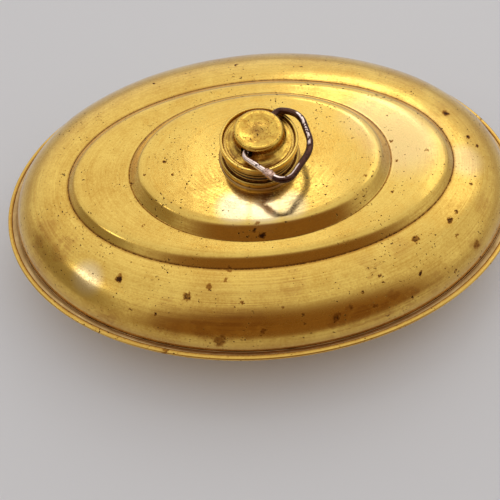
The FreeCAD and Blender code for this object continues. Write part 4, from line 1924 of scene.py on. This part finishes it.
SHELL_BRASS = BrassFinish("shell_brass")
TURNED_BRASS = BrassFinish(
    "turned_brass",
    bright=(0.80, 0.52, 0.105),
    warm=(0.52, 0.29, 0.045),
    # Near-black brown: painted shade on the stopper's walls and the neck's flange, and dirt in the dish.
    aged_and_shaded=(0.10, 0.043, 0.016),
    age_and_shade_share=0.95,
    lacquer=0.25,
    wear_share=0.9,
    patch_scale=60.0,
    line_scale=90.0,
)
KNOB_BRASS = BrassFinish(
    "knob_brass",
    bright=(0.88, 0.57, 0.095),
    warm=(0.52, 0.26, 0.03),
    aged_and_shaded=(0.17, 0.066, 0.011),
    lacquer=0.25,
    smooth=0.16,
    dull=0.34,
    patch_scale=240.0,
    patch_contrast=3.6,
    speck_amount=0.36,
    smudge_ragged=4.0 * MM,
)
WIRE_BRASS = WireFinish("wire_brass")
SOLDER = PlainFinish(
    "solder",
    first=(0.66, 0.44, 0.19),
    second=(0.46, 0.27, 0.09),
    metallic=1.0,
    roughness=(0.25, 0.42),
    patch_scale=90.0,
    relief_scale=500.0,
    relief_depth=0.06 * MM,
)
LEATHER = PlainFinish(
    "washer_leather",
    first=(0.030, 0.022, 0.016),
    second=(0.060, 0.042, 0.026),
    metallic=0.0,
    roughness=(0.6, 0.8),
    patch_scale=200.0,
    relief_scale=900.0,
    relief_depth=0.2 * MM,
)
BRAZE = PlainFinish(
    "braze",
    first=(0.80, 0.60, 0.49),
    second=(0.38, 0.17, 0.10),
    metallic=1.0,
    roughness=(0.14, 0.3),
    patch_scale=420.0,
    relief_scale=900.0,
    relief_depth=0.2 * MM,
)


def spots_on(surface: Thing, camera: Camera, spots: Sequence[PixelSpot]) -> LaidSpots:
    """Finds where each spot lies: the first place of the surface that its pixel's line of sight meets.

    Args:
        surface: the piece that the spots lie on.
        camera: the photograph's camera.
        spots: the spots to lay.

    Returns:
        The places with their spots, without those that miss the piece.
    """
    bpy.context.view_layer.update()
    found = []
    for spot in spots:
        hit, place, _, _ = surface.ray_cast(camera.place, camera.through(spot.pixel))
        if hit:
            found.append((place, spot))
    return found


def main() -> None:
    """Builds every piece in order, then the studio."""
    logging.basicConfig(level=logging.INFO, format="%(message)s")
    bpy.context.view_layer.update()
    effects = Effects()
    camera = Camera()
    camera.build()
    shells = Pressings()
    thread = ScrewThread()
    neck = FillerNeck(shells, thread)
    seams = Seams(shells, neck)
    stopper = Stopper(thread)
    bail = Bail()
    upper = shells.build_upper()
    shell_marks = (spots_on(upper, camera, spots) for spots in (SPOTS, SMUDGES, PAINTED_HIGHLIGHTS))
    shell_brass = SHELL_BRASS.make(effects, *shell_marks)
    settle(upper, shell_brass, Body.BOTTLE, "upper_shell")
    settle(shells.build_lower(), shell_brass, Body.BOTTLE, "lower_shell")
    solder = SOLDER.make(effects)
    settle(seams.build_rim(), solder, Body.BOTTLE, "rim_solder")
    settle(seams.build_neck(), solder, Body.BOTTLE, "neck_solder")
    turned_brass = TURNED_BRASS.make(effects)
    settle(neck.build(), turned_brass, Body.BOTTLE, "filler_neck")
    settle(SealingWasher().build(), LEATHER.make(effects), Body.WASHER, "sealing_washer")
    settle(stopper.build_body(), turned_brass, Body.STOPPER, "stopper_body")
    knob = stopper.drill(stopper.build_knob(), bail.height, bail.bearing)
    knob_brass = KNOB_BRASS.make(effects, smudges_and_shade=spots_on(knob, camera, KNOB_PAINTED_SHADOWS))
    settle(knob, knob_brass, Body.STOPPER, "stopper_knob")
    settle(bail.build_wire(), WIRE_BRASS.make(effects), Body.BAIL, "bail_ring")
    settle(bail.build_braze(), BRAZE.make(effects), Body.BAIL, "bail_braze")
    Studio().build()


if __name__ == "__main__":
    main()
